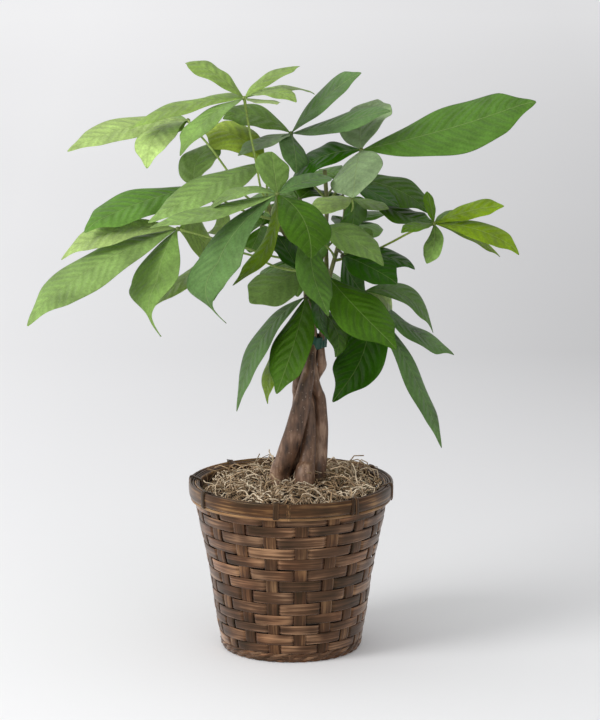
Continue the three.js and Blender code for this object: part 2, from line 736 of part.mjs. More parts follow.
// The blade's section is a flat diamond, thickest at the midrib. It is level across at the blade's middle
// before the roll, and keeps that side all along the midrib.
function leafletBlade(hub, { middle, tip, width, roll }) {
  const end = at(tip).add(hub);
  const pull = at(middle).add(hub).multiplyScalar(2).addScaledVector(hub, -0.5).addScaledVector(end, -0.5);
  const midrib = new THREE.QuadraticBezierCurve3(hub, pull, end);
  const side = end.clone().sub(hub).cross(new THREE.Vector3(0, 0, 1)).normalize();
  const turn = THREE.MathUtils.degToRad(roll);
  const rings = BLADE_STATIONS.map((along, i) => {
    const centre = midrib.getPoint(along);
    const ahead = midrib.getTangent(along);
    const level = side.clone().addScaledVector(ahead, -side.dot(ahead)).normalize();
    const above = level.clone().cross(ahead);
    const across = level.clone().multiplyScalar(Math.cos(turn)).addScaledVector(above, Math.sin(turn));
    const upward = above.clone().multiplyScalar(Math.cos(turn)).addScaledVector(level, -Math.sin(turn));
    const half = Math.max(LEAST_HALF_WIDTH, (bladeShare(along) * width) / 2);
    const rise = (BLADE_THICK / 2) * (i + 1 < BLADE_STATIONS.length ? 1 : TIP_THINNING);
    return [
      centre.clone().addScaledVector(across, half),
      centre.clone().addScaledVector(upward, -rise),
      centre.clone().addScaledVector(across, -half),
      centre.clone().addScaledVector(upward, rise),
    ];
  });
  return solidOf(loft(rings));
}

const KNUCKLE_RADIUS = 2.4;
const STALK_SIDES = 5;
function stalkBar(curve, steps) {
  const frames = curve.computeFrenetFrames(steps, false);
  const rings = [];
  for (let i = 0; i <= steps; i += 1) {
    const centre = curve.getPointAt(i / steps);
    const ring = [];
    for (let s = 0; s < STALK_SIDES; s += 1) {
      const turn = (s / STALK_SIDES) * 2 * Math.PI;
      const across = frames.normals[i].clone().multiplyScalar(Math.cos(turn));
      across.addScaledVector(frames.binormals[i], Math.sin(turn));
      ring.push(centre.clone().addScaledVector(across, STALK_RADIUS));
    }
    rings.push(ring);
  }
  return loft(rings);
}

// The stalk with the swollen knuckle that its leaflets grow from
function leafStalk(hub, stalk, root) {
  const curve = new THREE.CatmullRomCurve3([hub, ...stalk.map(at), root]);
  const knuckle = new THREE.OctahedronGeometry(KNUCKLE_RADIUS, 0);
  knuckle.translate(hub.x, hub.y, hub.z);
  const bar = stalkBar(curve, 2 * stalk.length + 2);
  return solidOf(bar).add(solidOf(knuckle));
}

// The stalk runs to the middle of its stem, and the stem's own room is cut out of it
function leafSolid({ hub, on, stalk, joins, leaflets }) {
  const centre = at(hub);
  const bare = leafStalk(centre, stalk, stemMiddleAt(on, joins));
  const blades = leaflets.map((leaflet) => leafletBlade(centre, leaflet));
  return blades.reduce((whole, blade) => whole.add(blade), bare).subtract(stemsWithGap.get(on));
}

LEAVES.forEach((leaf) => {
  addPiece(leaf.name, geometryOf(leafSolid(leaf)), leaf.young ? LEAF_YOUNG : LEAF_GREEN);
});

export default tree;
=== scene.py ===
import math

import bpy
import numpy as np
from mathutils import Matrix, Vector


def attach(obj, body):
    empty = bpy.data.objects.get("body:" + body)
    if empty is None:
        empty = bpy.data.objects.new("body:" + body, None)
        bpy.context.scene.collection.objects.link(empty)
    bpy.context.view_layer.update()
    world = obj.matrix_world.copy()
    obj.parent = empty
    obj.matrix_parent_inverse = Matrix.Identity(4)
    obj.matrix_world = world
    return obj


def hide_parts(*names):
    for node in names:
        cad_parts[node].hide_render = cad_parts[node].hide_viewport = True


# The room. A pale seamless sheet lies under the pot and runs far behind it. A broad soft box stands high on
# the left, a weaker one stands low in front, and the walls of a white studio give the rest of the light. The
# camera stands four metres away and looks down a little, through a long lens.
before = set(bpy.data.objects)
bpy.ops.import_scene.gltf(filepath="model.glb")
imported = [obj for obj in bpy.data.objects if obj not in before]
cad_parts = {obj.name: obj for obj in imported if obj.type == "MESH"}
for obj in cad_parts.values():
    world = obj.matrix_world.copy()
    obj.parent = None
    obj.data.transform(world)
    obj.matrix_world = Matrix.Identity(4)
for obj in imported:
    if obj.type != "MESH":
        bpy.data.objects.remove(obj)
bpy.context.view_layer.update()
mm = 0.001

CAMERA_DISTANCE = 4.0
CAMERA_ELEVATION = math.radians(12.2)
CAMERA_TARGET = Vector((0.0083, 0.0, 0.2717))

camera_data = bpy.data.cameras.new("camera")
camera_data.lens = 216.9
camera_data.clip_end = 60
camera = bpy.data.objects.new("camera", camera_data)
away = Vector((0, -math.cos(CAMERA_ELEVATION), math.sin(CAMERA_ELEVATION)))
camera.location = CAMERA_TARGET + away * CAMERA_DISTANCE
camera.rotation_euler = (math.pi / 2 - CAMERA_ELEVATION, 0, 0)
bpy.context.scene.collection.objects.link(camera)
bpy.context.scene.camera = camera
bpy.context.scene.view_settings.view_transform = "Standard"


def tint(code):
    """A colour written as sRGB hex, in the linear values that a shader works with."""
    parts = [int(code[i : i + 2], 16) / 255 for i in (1, 3, 5)]
    return (*[p / 12.92 if p <= 0.04045 else ((p + 0.055) / 1.055) ** 2.4 for p in parts], 1)


def add_node(tree, kind, inputs=(), ramp=None, **settings):
    """Adds a node with its settings and its ramp's colours, and gives its inputs their values or links."""
    node = tree.nodes.new(kind if "Node" in kind else "ShaderNode" + kind)
    for name, value in settings.items():
        setattr(node, name, value)
    for key, value in inputs.items() if isinstance(inputs, dict) else enumerate(inputs):
        if isinstance(value, bpy.types.Node):
            value = value.outputs[0]
        if isinstance(value, bpy.types.NodeSocket):
            tree.links.new(value, node.inputs[key])
        else:
            node.inputs[key].default_value = value
    if ramp:
        stops = node.color_ramp.elements
        stops.remove(stops[0])
        for number, (position, colour) in enumerate(ramp.items()):
            stop = stops.new(position) if number else stops[0]
            stop.position = position
            stop.color = tint(colour)
    return node


def new_material(name):
    """A material with an empty tree."""
    material = bpy.data.materials.new(name)
    material.use_nodes = True
    material.node_tree.nodes.clear()
    return material, material.node_tree


def new_piece(name, verts, faces, material, edges=()):
    """A smooth mesh object at the origin, with its place in its mesh."""
    mesh = bpy.data.meshes.new(name)
    mesh.from_pydata([tuple(v) for v in verts], edges, [tuple(f) for f in faces])
    mesh.polygons.foreach_set("use_smooth", [True] * len(mesh.polygons))
    mesh.materials.append(material)
    mesh.update()
    piece = bpy.data.objects.new(name, mesh)
    bpy.context.scene.collection.objects.link(piece)
    return piece


# Matt painted paper: nearly white and very faintly uneven. Painted shade darkens it far back on the right,
# and painted light makes the sheet glow a little, most at its far end and a little on the left.
paper, tree = new_material("seamless_paper")
place = add_node(tree, "TexCoord")
spot = add_node(tree, "SeparateXYZ", [place.outputs["Object"]])
right = add_node(tree, "MapRange", {"Value": spot.outputs["X"], "From Min": -0.4, "From Max": 0.5})
behind = add_node(tree, "MapRange", {"Value": spot.outputs["Y"], "From Min": 0.0, "From Max": 1.3})
farther = add_node(tree, "MapRange", {"Value": spot.outputs["Y"], "From Min": 1.3, "From Max": 4.4})
lifted = add_node(tree, "Math", [farther, -0.6, 1.0], operation="MULTIPLY_ADD")
painted_shade = add_node(tree, "Math", [right, behind], operation="MULTIPLY")
painted_shade = add_node(tree, "Math", [painted_shade, lifted], operation="MULTIPLY")
painted_shade = add_node(tree, "Math", [painted_shade, -0.33, 1.0], operation="MULTIPLY_ADD")
mottle_scale = 1 / (833 * mm)
mottle = add_node(tree, "TexNoise", {"Vector": place.outputs["Object"], "Scale": mottle_scale, "Detail": 2.0})
shade = add_node(tree, "ValToRGB", [mottle], ramp={0: "#E4E4E5", 1: "#E9E9EA"})
toned = add_node(tree, "VectorMath", [shade, painted_shade], operation="MULTIPLY")
# Painted light: the sheet glows a little on the left and more at its far end
left_glow = add_node(tree, "Math", [right, -0.06, 0.06], operation="MULTIPLY_ADD")
glow = add_node(tree, "Math", [farther, 0.15, left_glow], operation="MULTIPLY_ADD")
surface = add_node(
    tree,
    "BsdfPrincipled",
    {"Base Color": toned, "Roughness": 0.9, "Emission Color": tint("#FFFFFF"), "Emission Strength": glow},
)
add_node(tree, "OutputMaterial", [surface])

SHEET_RADIUS = 14.0
SHEET_SIDES = 64
sheet_edge = []
for angle in np.linspace(0, 2 * math.pi, SHEET_SIDES, False):
    sheet_edge.append((SHEET_RADIUS * math.cos(angle), SHEET_RADIUS * math.sin(angle), 0))
floor = new_piece("floor", sheet_edge, [range(SHEET_SIDES)], paper)

# Soft boxes: where each stands, its width and its power. Both face the middle of the plant.
for name, place, size, power in (
    ("key_light", (-2.25, -1.45, 2.1), 1.5, 54),
    ("fill_light", (1.2, -2.8, 1.0), 1.8, 8),
):
    light = bpy.data.lights.new(name, "AREA")
    light.shape = "DISK"
    light.size = size
    light.energy = power
    lamp = bpy.data.objects.new(name, light)
    lamp.location = place
    lamp.rotation_euler = (Vector((0, 0, 0.3)) - Vector(place)).to_track_quat("-Z", "Y").to_euler()
    bpy.context.scene.collection.objects.link(lamp)

# The studio's walls: bright on the left, towards the key light, and dimmer on the right
KEY_SIDE = (-0.80, -0.35, 0.48)
world = bpy.data.worlds.new("studio")
world.use_nodes = True
tree = world.node_tree
place = add_node(tree, "TexCoord")
toward = add_node(tree, "VectorMath", [place.outputs["Generated"], KEY_SIDE], operation="DOT_PRODUCT")
bright = add_node(
    tree,
    "MapRange",
    {0: toward.outputs["Value"], "From Min": -0.8, "From Max": 0.9, "To Min": 0.42, "To Max": 1.1},
)
tree.nodes["Background"].inputs["Color"].default_value = tint("#F6F6F7")
tree.links.new(bright.outputs[0], tree.nodes["Background"].inputs["Strength"])
bpy.context.scene.world = world

# The basket's wall. Wide strips split from the skin of bamboo and stained brown run level round eighteen
# upright stakes of the same bamboo, in front of one and behind the next, and each row swaps with the row
# under it. The strips are laid wet, so they set in the bowed shape that the stakes give them.
# In millimetres: heights and radii of the middle of the wall, and the heights of the edges of the rows
WALL_PROFILE = [
    (9.3, 66.3), (22, 69), (46, 72.8), (70, 75.8), (93, 80.2), (116, 85.2), (134, 88.6), (144, 90), (155, 90),
]
ROW_EDGES = [142.5, 134.7, 124.8, 113.4, 102.9, 91.9, 81.0, 70.0, 58.7, 47.4, 37.5, 28.5, 17.4, 8.6]
STAKES = 18
FIRST_STAKE = math.radians(6.7)
STAKE_STEP = 2 * math.pi / STAKES
STAKE_INSET = 2.0
WEAVER_HALF_THICK = 0.45
WEAVE_DEPTH = 1.05
BEHIND_HALF = math.radians(4.0)
TURN_OVER = math.radians(2.8)
STRIP_OVERLAP = math.radians(24)
END_TUCK = 0.9
UP = Vector((0, 0, 1))


def wall_radius(height):
    """The radius of the middle of the wall at a height, in millimetres."""
    heights, radii = zip(*WALL_PROFILE)
    return np.interp(height, heights, radii)


def to_side(angle, radius=1, height=0):
    """A place on the basket, in millimetres: angle 0 is the front and it grows towards the right."""
    return Vector((radius * math.sin(angle), -radius * math.cos(angle), height))


def new_tree(name, sizes):
    """A Geometry Nodes tree for a mesh and named sizes. Returns it, its input node and each input's key."""
    tree = bpy.data.node_groups.new(name, "GeometryNodeTree")
    tree.interface.new_socket("Geometry", in_out="INPUT", socket_type="NodeSocketGeometry")
    tree.interface.new_socket("Geometry", in_out="OUTPUT", socket_type="NodeSocketGeometry")
    keys = {}
    for label, kind in sizes.items():
        socket = tree.interface.new_socket(label, in_out="INPUT", socket_type="NodeSocket" + kind)
        keys[label] = socket.identifier
    return tree, add_node(tree, "NodeGroupInput"), keys


def grow(piece, tree, keys, values):
    """Runs a tree on the piece with these values, and keeps what it makes as the piece's own plain mesh."""
    grower = piece.modifiers.new(tree.name, "NODES")
    grower.node_group = tree
    for label, value in values.items():
        grower[keys[label]] = value
    bpy.context.view_layer.update()
    grown = bpy.data.meshes.new_from_object(piece.evaluated_get(bpy.context.evaluated_depsgraph_get()))
    piece.modifiers.clear()
    piece.data = grown
    grown.polygons.foreach_set("use_smooth", [True] * len(grown.polygons))


# A split strip swept along its path: a lens-shaped section, flat behind and rounded in front, that keeps its
# width level with the weave. Each point keeps its place along and across its strip, and the strip's number.
split_strip, given, strip_keys = new_tree(
    "split_strip", {"Half Thickness": "Float", "Crown": "Float", "Strip": "Material"}
)
path = add_node(split_strip, "GeometryNodeMeshToCurve", {"Mesh": given.outputs["Geometry"]})
along = add_node(split_strip, "GeometryNodeSplineParameter")
for label, value, kind in (
    ("place", add_node(split_strip, "GeometryNodeInputPosition"), "FLOAT_VECTOR"),
    ("run", along.outputs["Length"], "FLOAT"),
):
    path = add_node(
        split_strip,
        "GeometryNodeStoreNamedAttribute",
        {0: path, "Name": label, "Value": value},
        data_type=kind,
    )
ring = add_node(split_strip, "GeometryNodeCurvePrimitiveCircle", {"Resolution": 12, "Radius": 1.0})
here = add_node(split_strip, "GeometryNodeInputPosition")
round_parts = add_node(split_strip, "SeparateXYZ", [here])
squared_off = []
for part, power in (("X", 0.6), ("Y", 0.35)):
    amount = add_node(split_strip, "Math", [round_parts.outputs[part]], operation="ABSOLUTE")
    amount = add_node(split_strip, "Math", [amount, power], operation="POWER")
    sign = add_node(split_strip, "Math", [round_parts.outputs[part]], operation="SIGN")
    squared_off.append(add_node(split_strip, "Math", [amount, sign], operation="MULTIPLY"))
across, outward = squared_off
domed = add_node(split_strip, "Math", [across, across], operation="MULTIPLY")
domed = add_node(split_strip, "Math", [1.0, domed], operation="SUBTRACT")
domed = add_node(split_strip, "Math", [domed, given.outputs["Crown"]], operation="MULTIPLY")
front_side = add_node(split_strip, "Math", [outward, 0.01], operation="GREATER_THAN")
domed = add_node(split_strip, "Math", [domed, front_side, outward], operation="MULTIPLY_ADD")
section = add_node(split_strip, "CombineXYZ", [across, domed])
ring = add_node(
    split_strip,
    "GeometryNodeStoreNamedAttribute",
    {"Geometry": ring, "Name": "section", "Value": section},
    data_type="FLOAT_VECTOR",
)
swept = add_node(
    split_strip, "GeometryNodeCurveToMesh", {"Curve": path, "Profile Curve": ring, "Fill Caps": True}
)
held = {}
for label in ("place", "wide", "out", "section", "half_wide", "run", "number"):
    kind = "FLOAT" if label in ("half_wide", "run", "number") else "FLOAT_VECTOR"
    held[label] = add_node(split_strip, "GeometryNodeInputNamedAttribute", {"Name": label}, data_type=kind)
parts = add_node(split_strip, "SeparateXYZ", [held["section"]])
sideways = add_node(split_strip, "Math", [parts.outputs["X"], held["half_wide"]], operation="MULTIPLY")
forward = add_node(
    split_strip, "Math", [parts.outputs["Y"], given.outputs["Half Thickness"]], operation="MULTIPLY"
)
reach = add_node(split_strip, "VectorMath", {0: held["wide"], "Scale": sideways}, operation="SCALE")
rise = add_node(split_strip, "VectorMath", {0: held["out"], "Scale": forward}, operation="SCALE")
spot = add_node(split_strip, "VectorMath", [held["place"], reach], operation="ADD")
spot = add_node(split_strip, "VectorMath", [spot, rise], operation="ADD")
shaped = add_node(split_strip, "GeometryNodeSetPosition", {"Geometry": swept, "Position": spot})
coordinates = add_node(split_strip, "CombineXYZ", [held["run"], sideways, held["number"]])
marked = add_node(
    split_strip,
    "GeometryNodeStoreNamedAttribute",
    {"Geometry": shaped, "Name": "strip", "Value": coordinates},
    data_type="FLOAT_VECTOR",
)
real = add_node(split_strip, "GeometryNodeRealizeInstances", [marked])
covered = add_node(
    split_strip, "GeometryNodeSetMaterial", {"Geometry": real, "Material": given.outputs["Strip"]}
)
add_node(split_strip, "NodeGroupOutput", [covered])


def strip_piece(name, strips, material, half_thick, crown=0.35, closed=False):
    """Strips of one thickness, joined in one piece. A strip is rows of place, the way that its width and its
    face point there, and half its width, all in millimetres."""
    verts, edges, rows = [], [], {"wide": [], "out": [], "half_wide": [], "number": []}
    for number, strip in enumerate(strips):
        start, count = len(verts), len(strip)
        places, wides, outs, halves = zip(*strip)
        verts += [place * mm for place in places]
        edges += [(start + i, start + (i + 1) % count) for i in range(count if closed else count - 1)]
        rows["wide"] += [tuple(wide) for wide in wides]
        rows["out"] += [tuple(out) for out in outs]
        rows["half_wide"] += [half * mm for half in halves]
        rows["number"] += [number + 0.5] * count
    piece = new_piece(name, verts, [], material, edges)
    for label, values in rows.items():
        kind, key = ("FLOAT", "value") if label in ("half_wide", "number") else ("FLOAT_VECTOR", "vector")
        column = piece.data.attributes.new(label, kind, "POINT")
        column.data.foreach_set(key, np.array(values, dtype=np.float32).ravel())
    sizes = {"Half Thickness": half_thick * mm, "Crown": crown, "Strip": material}
    grow(piece, split_strip, strip_keys, sizes)
    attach(piece, "root")
    return piece


# Bamboo skin, split by hand and stained: the stain takes unevenly, so it shows fine streaks along the strip,
# darker and lighter from strip to strip, and a satin gloss. A streak's width is in millimetres.
STRETCH = 0.035
STRIP_JUMP = 7.31


def bamboo(name, dark, middle, light, roughness, streak=0.6):
    """Stained bamboo in three tones, with the roughness of its smoothest places."""
    material, tree = new_material(name)
    strip = add_node(tree, "Attribute", attribute_name="strip")
    parts = add_node(tree, "SeparateXYZ", [strip.outputs["Vector"]])
    run, side, number = parts.outputs
    jump = add_node(tree, "Math", [number, STRIP_JUMP], operation="MULTIPLY")
    slow = add_node(tree, "Math", [run, STRETCH], operation="MULTIPLY")
    fibres = add_node(tree, "CombineXYZ", [slow, side, jump])
    fine = add_node(tree, "TexNoise", {"Vector": fibres, "Scale": 1 / (streak * mm), "Detail": 3.0})
    wide = add_node(tree, "TexNoise", {"Vector": fibres, "Scale": 0.3 / (streak * mm), "Detail": 2.0})
    blot = add_node(tree, "CombineXYZ", [run, side, jump])
    patch = add_node(tree, "TexNoise", {"Vector": blot, "Scale": 1 / (38.46 * mm), "Detail": 2.0})
    tone = add_node(tree, "Math", [fine, 0.5, wide], operation="MULTIPLY_ADD")
    tone = add_node(tree, "Math", [patch, 1.25, tone], operation="MULTIPLY_ADD")
    tone = add_node(tree, "MapRange", {"Value": tone, "From Min": 1.06, "From Max": 1.74})
    stain = add_node(tree, "ValToRGB", [tone], ramp={0: dark, 0.5: middle, 1: light})
    length = add_node(tree, "CombineXYZ", {"X": run, "Z": jump})
    cast = add_node(tree, "TexNoise", {"Vector": length, "Scale": 1 / (58.8 * mm), "Detail": 1.0})
    cast = add_node(tree, "ValToRGB", [cast], ramp={0.36: "#F4F7F9", 0.5: "#FFFCF6", 0.64: "#FFF0E5"})
    stained = add_node(tree, "VectorMath", [stain, cast], operation="MULTIPLY")
    bump = add_node(tree, "Bump", {"Height": fine, "Strength": 0.5, "Distance": 0.3 * mm})
    rough = add_node(tree, "MapRange", {"Value": tone, "To Min": roughness + 0.14, "To Max": roughness})
    surface = add_node(
        tree,
        "BsdfPrincipled",
        {
            "Base Color": stained,
            "Roughness": rough,
            "Normal": bump,
            "Specular IOR Level": 0.5,
            "Specular Tint": tint("#EFCBA0"),
            "Sheen Weight": 0.22,
            "Sheen Roughness": 0.38,
            "Sheen Tint": tint("#F2E2D2"),
        },
    )
    add_node(tree, "OutputMaterial", [surface])
    return material


stained_bamboo = bamboo("stained_bamboo_skin", "#1A100B", "#50372A", "#A17D60", 0.28)
draw = np.random.default_rng(11)
weavers = []
for row, (top, low) in enumerate(zip(ROW_EDGES, ROW_EDGES[1:])):
    middle = (top + low) / 2
    slope = (wall_radius(top) - wall_radius(low)) / (top - low)
    start = math.radians(140 + 20 * draw.integers(0, 4)) + FIRST_STAKE
    drift = draw.uniform(-0.35, 0.35, 6)
    weaver = []
    for turn in np.arange(0, 2 * math.pi + STRIP_OVERLAP, math.radians(0.8)):
        angle = start + turn
        stake = (angle - FIRST_STAKE) / STAKE_STEP - (row + 1) % 2
        off = abs((stake / 2 + 0.5) % 1 - 0.5) * 2 * STAKE_STEP
        rise = np.clip((off - BEHIND_HALF) / TURN_OVER, 0, 1)
        rise = rise * rise * (3 - 2 * rise)
        bow = math.sin(np.clip(off / STAKE_STEP, 0, 1) * math.pi / 2)
        wave = -1 + 2 * rise * (0.82 + 0.18 * bow)
        tuck = END_TUCK if turn > 2 * math.pi - 0.2 else 0.0
        radius = wall_radius(middle) - STAKE_INSET + WEAVE_DEPTH * wave - tuck
        wander = drift[0] * math.sin(angle * 2 + drift[1] * 9) + drift[2] * math.sin(angle * 5 + drift[3] * 9)
        tilt = 0.05 * math.sin(angle * 3 + drift[4] * 12)
        out = to_side(angle)
        wide = ((out * slope + UP).normalized() + out * tilt).normalized()
        half = (top - low) / 2 * (0.96 + 0.03 * math.sin(angle * 4 + drift[5] * 20))
        weaver.append((to_side(angle, radius, middle + wander), wide, (out - UP * slope).normalized(), half))
    weavers.append(weaver)
weaver_piece = strip_piece("basket_weavers", weavers, stained_bamboo, WEAVER_HALF_THICK, crown=0.2)
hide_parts("basket_wall")

# The upright stakes that the weavers go round. They are split from the same bamboo, in darker tones than the
# strips, and run from under the base to under the rim's hoops. A stake bows out a little where it shows.
STAKE_HALF_WIDE = 6.1
STAKE_BULGE = 0.55
stake_bamboo = bamboo("stained_bamboo_stake", "#140D08", "#42291D", "#866547", 0.34)
stakes = []
for number in range(STAKES):
    angle = FIRST_STAKE + number * STAKE_STEP
    stake = []
    for height in np.arange(6, 156, 1.6):
        row = np.searchsorted(-np.array(ROW_EDGES), -height) - 1
        bulge = -1
        if 0 <= row < len(ROW_EDGES) - 1:
            share = (ROW_EDGES[row] - height) / (ROW_EDGES[row] - ROW_EDGES[row + 1])
            bulge = math.sin(math.pi * share) ** 0.6 * (1 if number % 2 != row % 2 else -1)
        place = to_side(angle, wall_radius(height) - STAKE_INSET + STAKE_BULGE * bulge, height)
        half = STAKE_HALF_WIDE * (0.86 + 0.14 * height / 150)
        stake.append((place, to_side(angle - math.pi / 2), to_side(angle), half))
    stakes.append(stake)
stake_piece = strip_piece("basket_stakes", stakes, stake_bamboo, 0.55, crown=0.5)

# The twined foot. Thin split canes are twisted round each other below the last row, round the ends of the
# stakes, and they carry the basket's rounded lower edge.
# In millimetres: radii and heights of the three layers, how far a cane swings out and up, and half its width
TWINE_OUT = 0.75
TWINE_UP = 0.85
TWINE_HALF_WIDE = 1.25
FOOT_LAYERS = [(64.4, 7.2), (63.9, 4.6), (62.3, 2.1)]
twines = []
for layer, (radius, height) in enumerate(FOOT_LAYERS):
    for strand in range(2):
        twine = []
        for angle in np.radians(np.arange(0, 360, 2.0)):
            phase = angle * STAKES + strand * math.pi + layer * 0.8
            place = to_side(angle, radius + TWINE_OUT * math.cos(phase), height + TWINE_UP * math.sin(phase))
            twine.append((place, UP, to_side(angle), TWINE_HALF_WIDE))
        twines.append(twine)
twine_piece = strip_piece("basket_foot_twining", twines, stained_bamboo, 0.9, crown=0.2, closed=True)
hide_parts("basket_foot_band")

# The base is a flat weave of the same strips, closed on itself. It is held inside the twined foot and shows
# only from below.
# In millimetres: its radius, the step between strips, half a strip's width, and the weave's height and swing
BASE_RADIUS = 62.0
LANE_STEP = 11.0
LANE_HALF_WIDE = 5.2
LANE_HEIGHT = 2.2
LANE_SWING = 0.55
base_strips = []
for direction in range(2):
    wide = Vector((0, 1, 0)) if direction == 0 else Vector((-1, 0, 0))
    for lane in range(-5, 6):
        offset = lane * LANE_STEP
        reach = math.sqrt(BASE_RADIUS**2 - (abs(offset) + 5) ** 2)
        over = LANE_SWING if (lane + direction) % 2 else -LANE_SWING
        base_strip = []
        for s in np.linspace(-reach, reach, 60):
            lift = LANE_HEIGHT + over * math.cos(math.pi * s / LANE_STEP)
            spot = (s, offset, lift) if direction == 0 else (offset, s, lift)
            base_strip.append((Vector(spot), wide, UP, LANE_HALF_WIDE))
        base_strips.append(base_strip)
base_piece = strip_piece("basket_base_weave", base_strips, stained_bamboo, 0.45, crown=0.2)
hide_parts("basket_base")

# The rim. A flat bamboo hoop is bent round the outside of the wall and thinner ones round the inside, and a
# round cane lies in the corner under the outer hoop. The hoops keep the fine ribs of the bamboo's skin.
rim_bamboo = bamboo("stained_bamboo_hoop", "#120B07", "#422A1B", "#A07C52", 0.26, streak=0.9)
pale_cane = bamboo("peeled_round_cane", "#4A3524", "#8A6A4A", "#B8966C", 0.36, streak=0.9)


def hoop_ring(radius, height, half_wide, wobble, phase, lean=0.0):
    """One hoop: its radius, the height of its middle, half its width, how it wavers and how it leans out."""
    hoop = []
    for angle in np.radians(np.arange(0, 360, 2.5)):
        waver = wobble * math.sin(3 * angle + phase) + 0.5 * wobble * math.sin(7 * angle + 2 * phase)
        out = to_side(angle)
        place = to_side(angle, radius + 0.3 * waver, height + waver)
        hoop.append((place, (UP + out * lean).normalized(), (out - UP * lean).normalized(), half_wide))
    return hoop


outer_hoop = [hoop_ring(93.4, 151.2, 6.7, 0.15, 0.4, lean=0.05)]
outer = strip_piece("rim_outer_hoop", outer_hoop, rim_bamboo, 1.1, closed=True)
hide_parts("rim_hoop_outer")
top_splint = [hoop_ring(91.0, 154.9, 1.7, 0.2, 2.0)]
rim_top = strip_piece("rim_top_splint", top_splint, rim_bamboo, 0.8, closed=True)
inner_hoops = [
    hoop_ring(85.6, 150.0, 5.6, 0.3, 1.0),
    hoop_ring(87.0, 151.5, 4.9, 0.3, 3.0),
    hoop_ring(88.6, 153.2, 3.6, 0.2, 4.4),
]
inner = strip_piece("rim_inner_hoops", inner_hoops, rim_bamboo, 0.65, closed=True)
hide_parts("rim_hoop_inner")
corner_cane = [hoop_ring(91.9, 142.9, 1.35, 0.25, 2.2)]
cane = strip_piece("rim_round_cane", corner_cane, pale_cane, 1.2, crown=0.1, closed=True)
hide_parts("rim_cane")

# The lashings. Short lengths of darker split cane are wound over both hoops and the wall between them, and
# their ends are tucked under the hoop. Two of the eight are wound twice, in narrower cane.
# In millimetres: radii and heights along a lashing, and the radius that turns a sideways shift into an angle
LASHING_LOOP = [
    (94.4, 143.4), (95.0, 145.0), (95.2, 150.0), (95.2, 156.0), (94.6, 158.3), (92.8, 159.0), (89.6, 157.6),
    (86.6, 156.6), (84.6, 155.4), (84.2, 153.0), (84.2, 149.0), (84.3, 145.6),
]
LASHING_DEGREES = [-8, 38, 80, 126, 172, 218, 262, 302]
WOUND_TWICE = (1, 4)
RIM_RADIUS = 92
lashing_cane = bamboo("dark_split_cane", "#100905", "#2C1C13", "#5C422E", 0.4)
loop = []
for (radius, height), (next_radius, next_height) in zip(LASHING_LOOP, LASHING_LOOP[1:]):
    for k in range(3):
        loop.append((radius + (next_radius - radius) * k / 3, height + (next_height - height) * k / 3))
loop.append(LASHING_LOOP[-1])
lashings = []
for number, degrees in enumerate(LASHING_DEGREES):
    middle = math.radians(degrees)
    twice = number in WOUND_TWICE
    for shift, skew in ((-1.6, 4.0), (2.0, -2.4)) if twice else ((0.0, 2.0),):
        lashing = []
        for i, (radius, height) in enumerate(loop):
            angle = middle + (shift + skew * (i / (len(loop) - 1) - 0.3)) / RIM_RADIUS
            before, after = loop[max(0, i - 1)], loop[min(len(loop) - 1, i + 1)]
            normal = Vector((after[1] - before[1], before[0] - after[0])).normalized()
            out = (to_side(middle) * normal.x + UP * normal.y).normalized()
            wide = to_side(middle - math.pi / 2)
            lashing.append((to_side(angle, radius, height), wide, out, 1.7 if twice else 2.7))
        lashings.append(lashing)
lashing_piece = strip_piece("rim_lashings", lashings, lashing_cane, 0.45, crown=0.6)
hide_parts(*[f"rim_lashing_{i + 1}" for i in range(len(LASHING_DEGREES))])

# The nursery pot inside the basket, moulded in black polypropylene, and the potting mix of bark and peat in
# it. Both keep the CAD model's own shapes and get a finish here.
polypropylene, tree = new_material("moulded_black_polypropylene")
place = add_node(tree, "TexCoord")
scuff = add_node(
    tree, "TexNoise", {"Vector": place.outputs["Object"], "Scale": 1 / (11.1 * mm), "Detail": 4.0}
)
shade = add_node(tree, "ValToRGB", [scuff], ramp={0: "#0E0E0E", 1: "#1E1D1C"})
grain = add_node(tree, "Bump", {"Height": scuff, "Strength": 0.2, "Distance": 0.3 * mm})
surface = add_node(tree, "BsdfPrincipled", {"Base Color": shade, "Roughness": 0.6, "Normal": grain})
add_node(tree, "OutputMaterial", [surface])

potting_mix, tree = new_material("bark_and_peat_mix")
place = add_node(tree, "TexCoord")
crumbs = add_node(tree, "TexVoronoi", {"Vector": place.outputs["Object"], "Scale": 1 / (3.85 * mm)})
shade = add_node(tree, "ValToRGB", [crumbs], ramp={0: "#3A2A1E", 1: "#120B07"})
lumps = add_node(tree, "Bump", {"Height": crumbs, "Strength": 0.8, "Distance": 2 * mm})
surface = add_node(tree, "BsdfPrincipled", {"Base Color": shade, "Roughness": 0.95, "Normal": lumps})
add_node(tree, "OutputMaterial", [surface])

for node, finish in (("grow_pot", polypropylene), ("soil", potting_mix)):
    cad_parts[node].data.materials.clear()
    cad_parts[node].data.materials.append(finish)
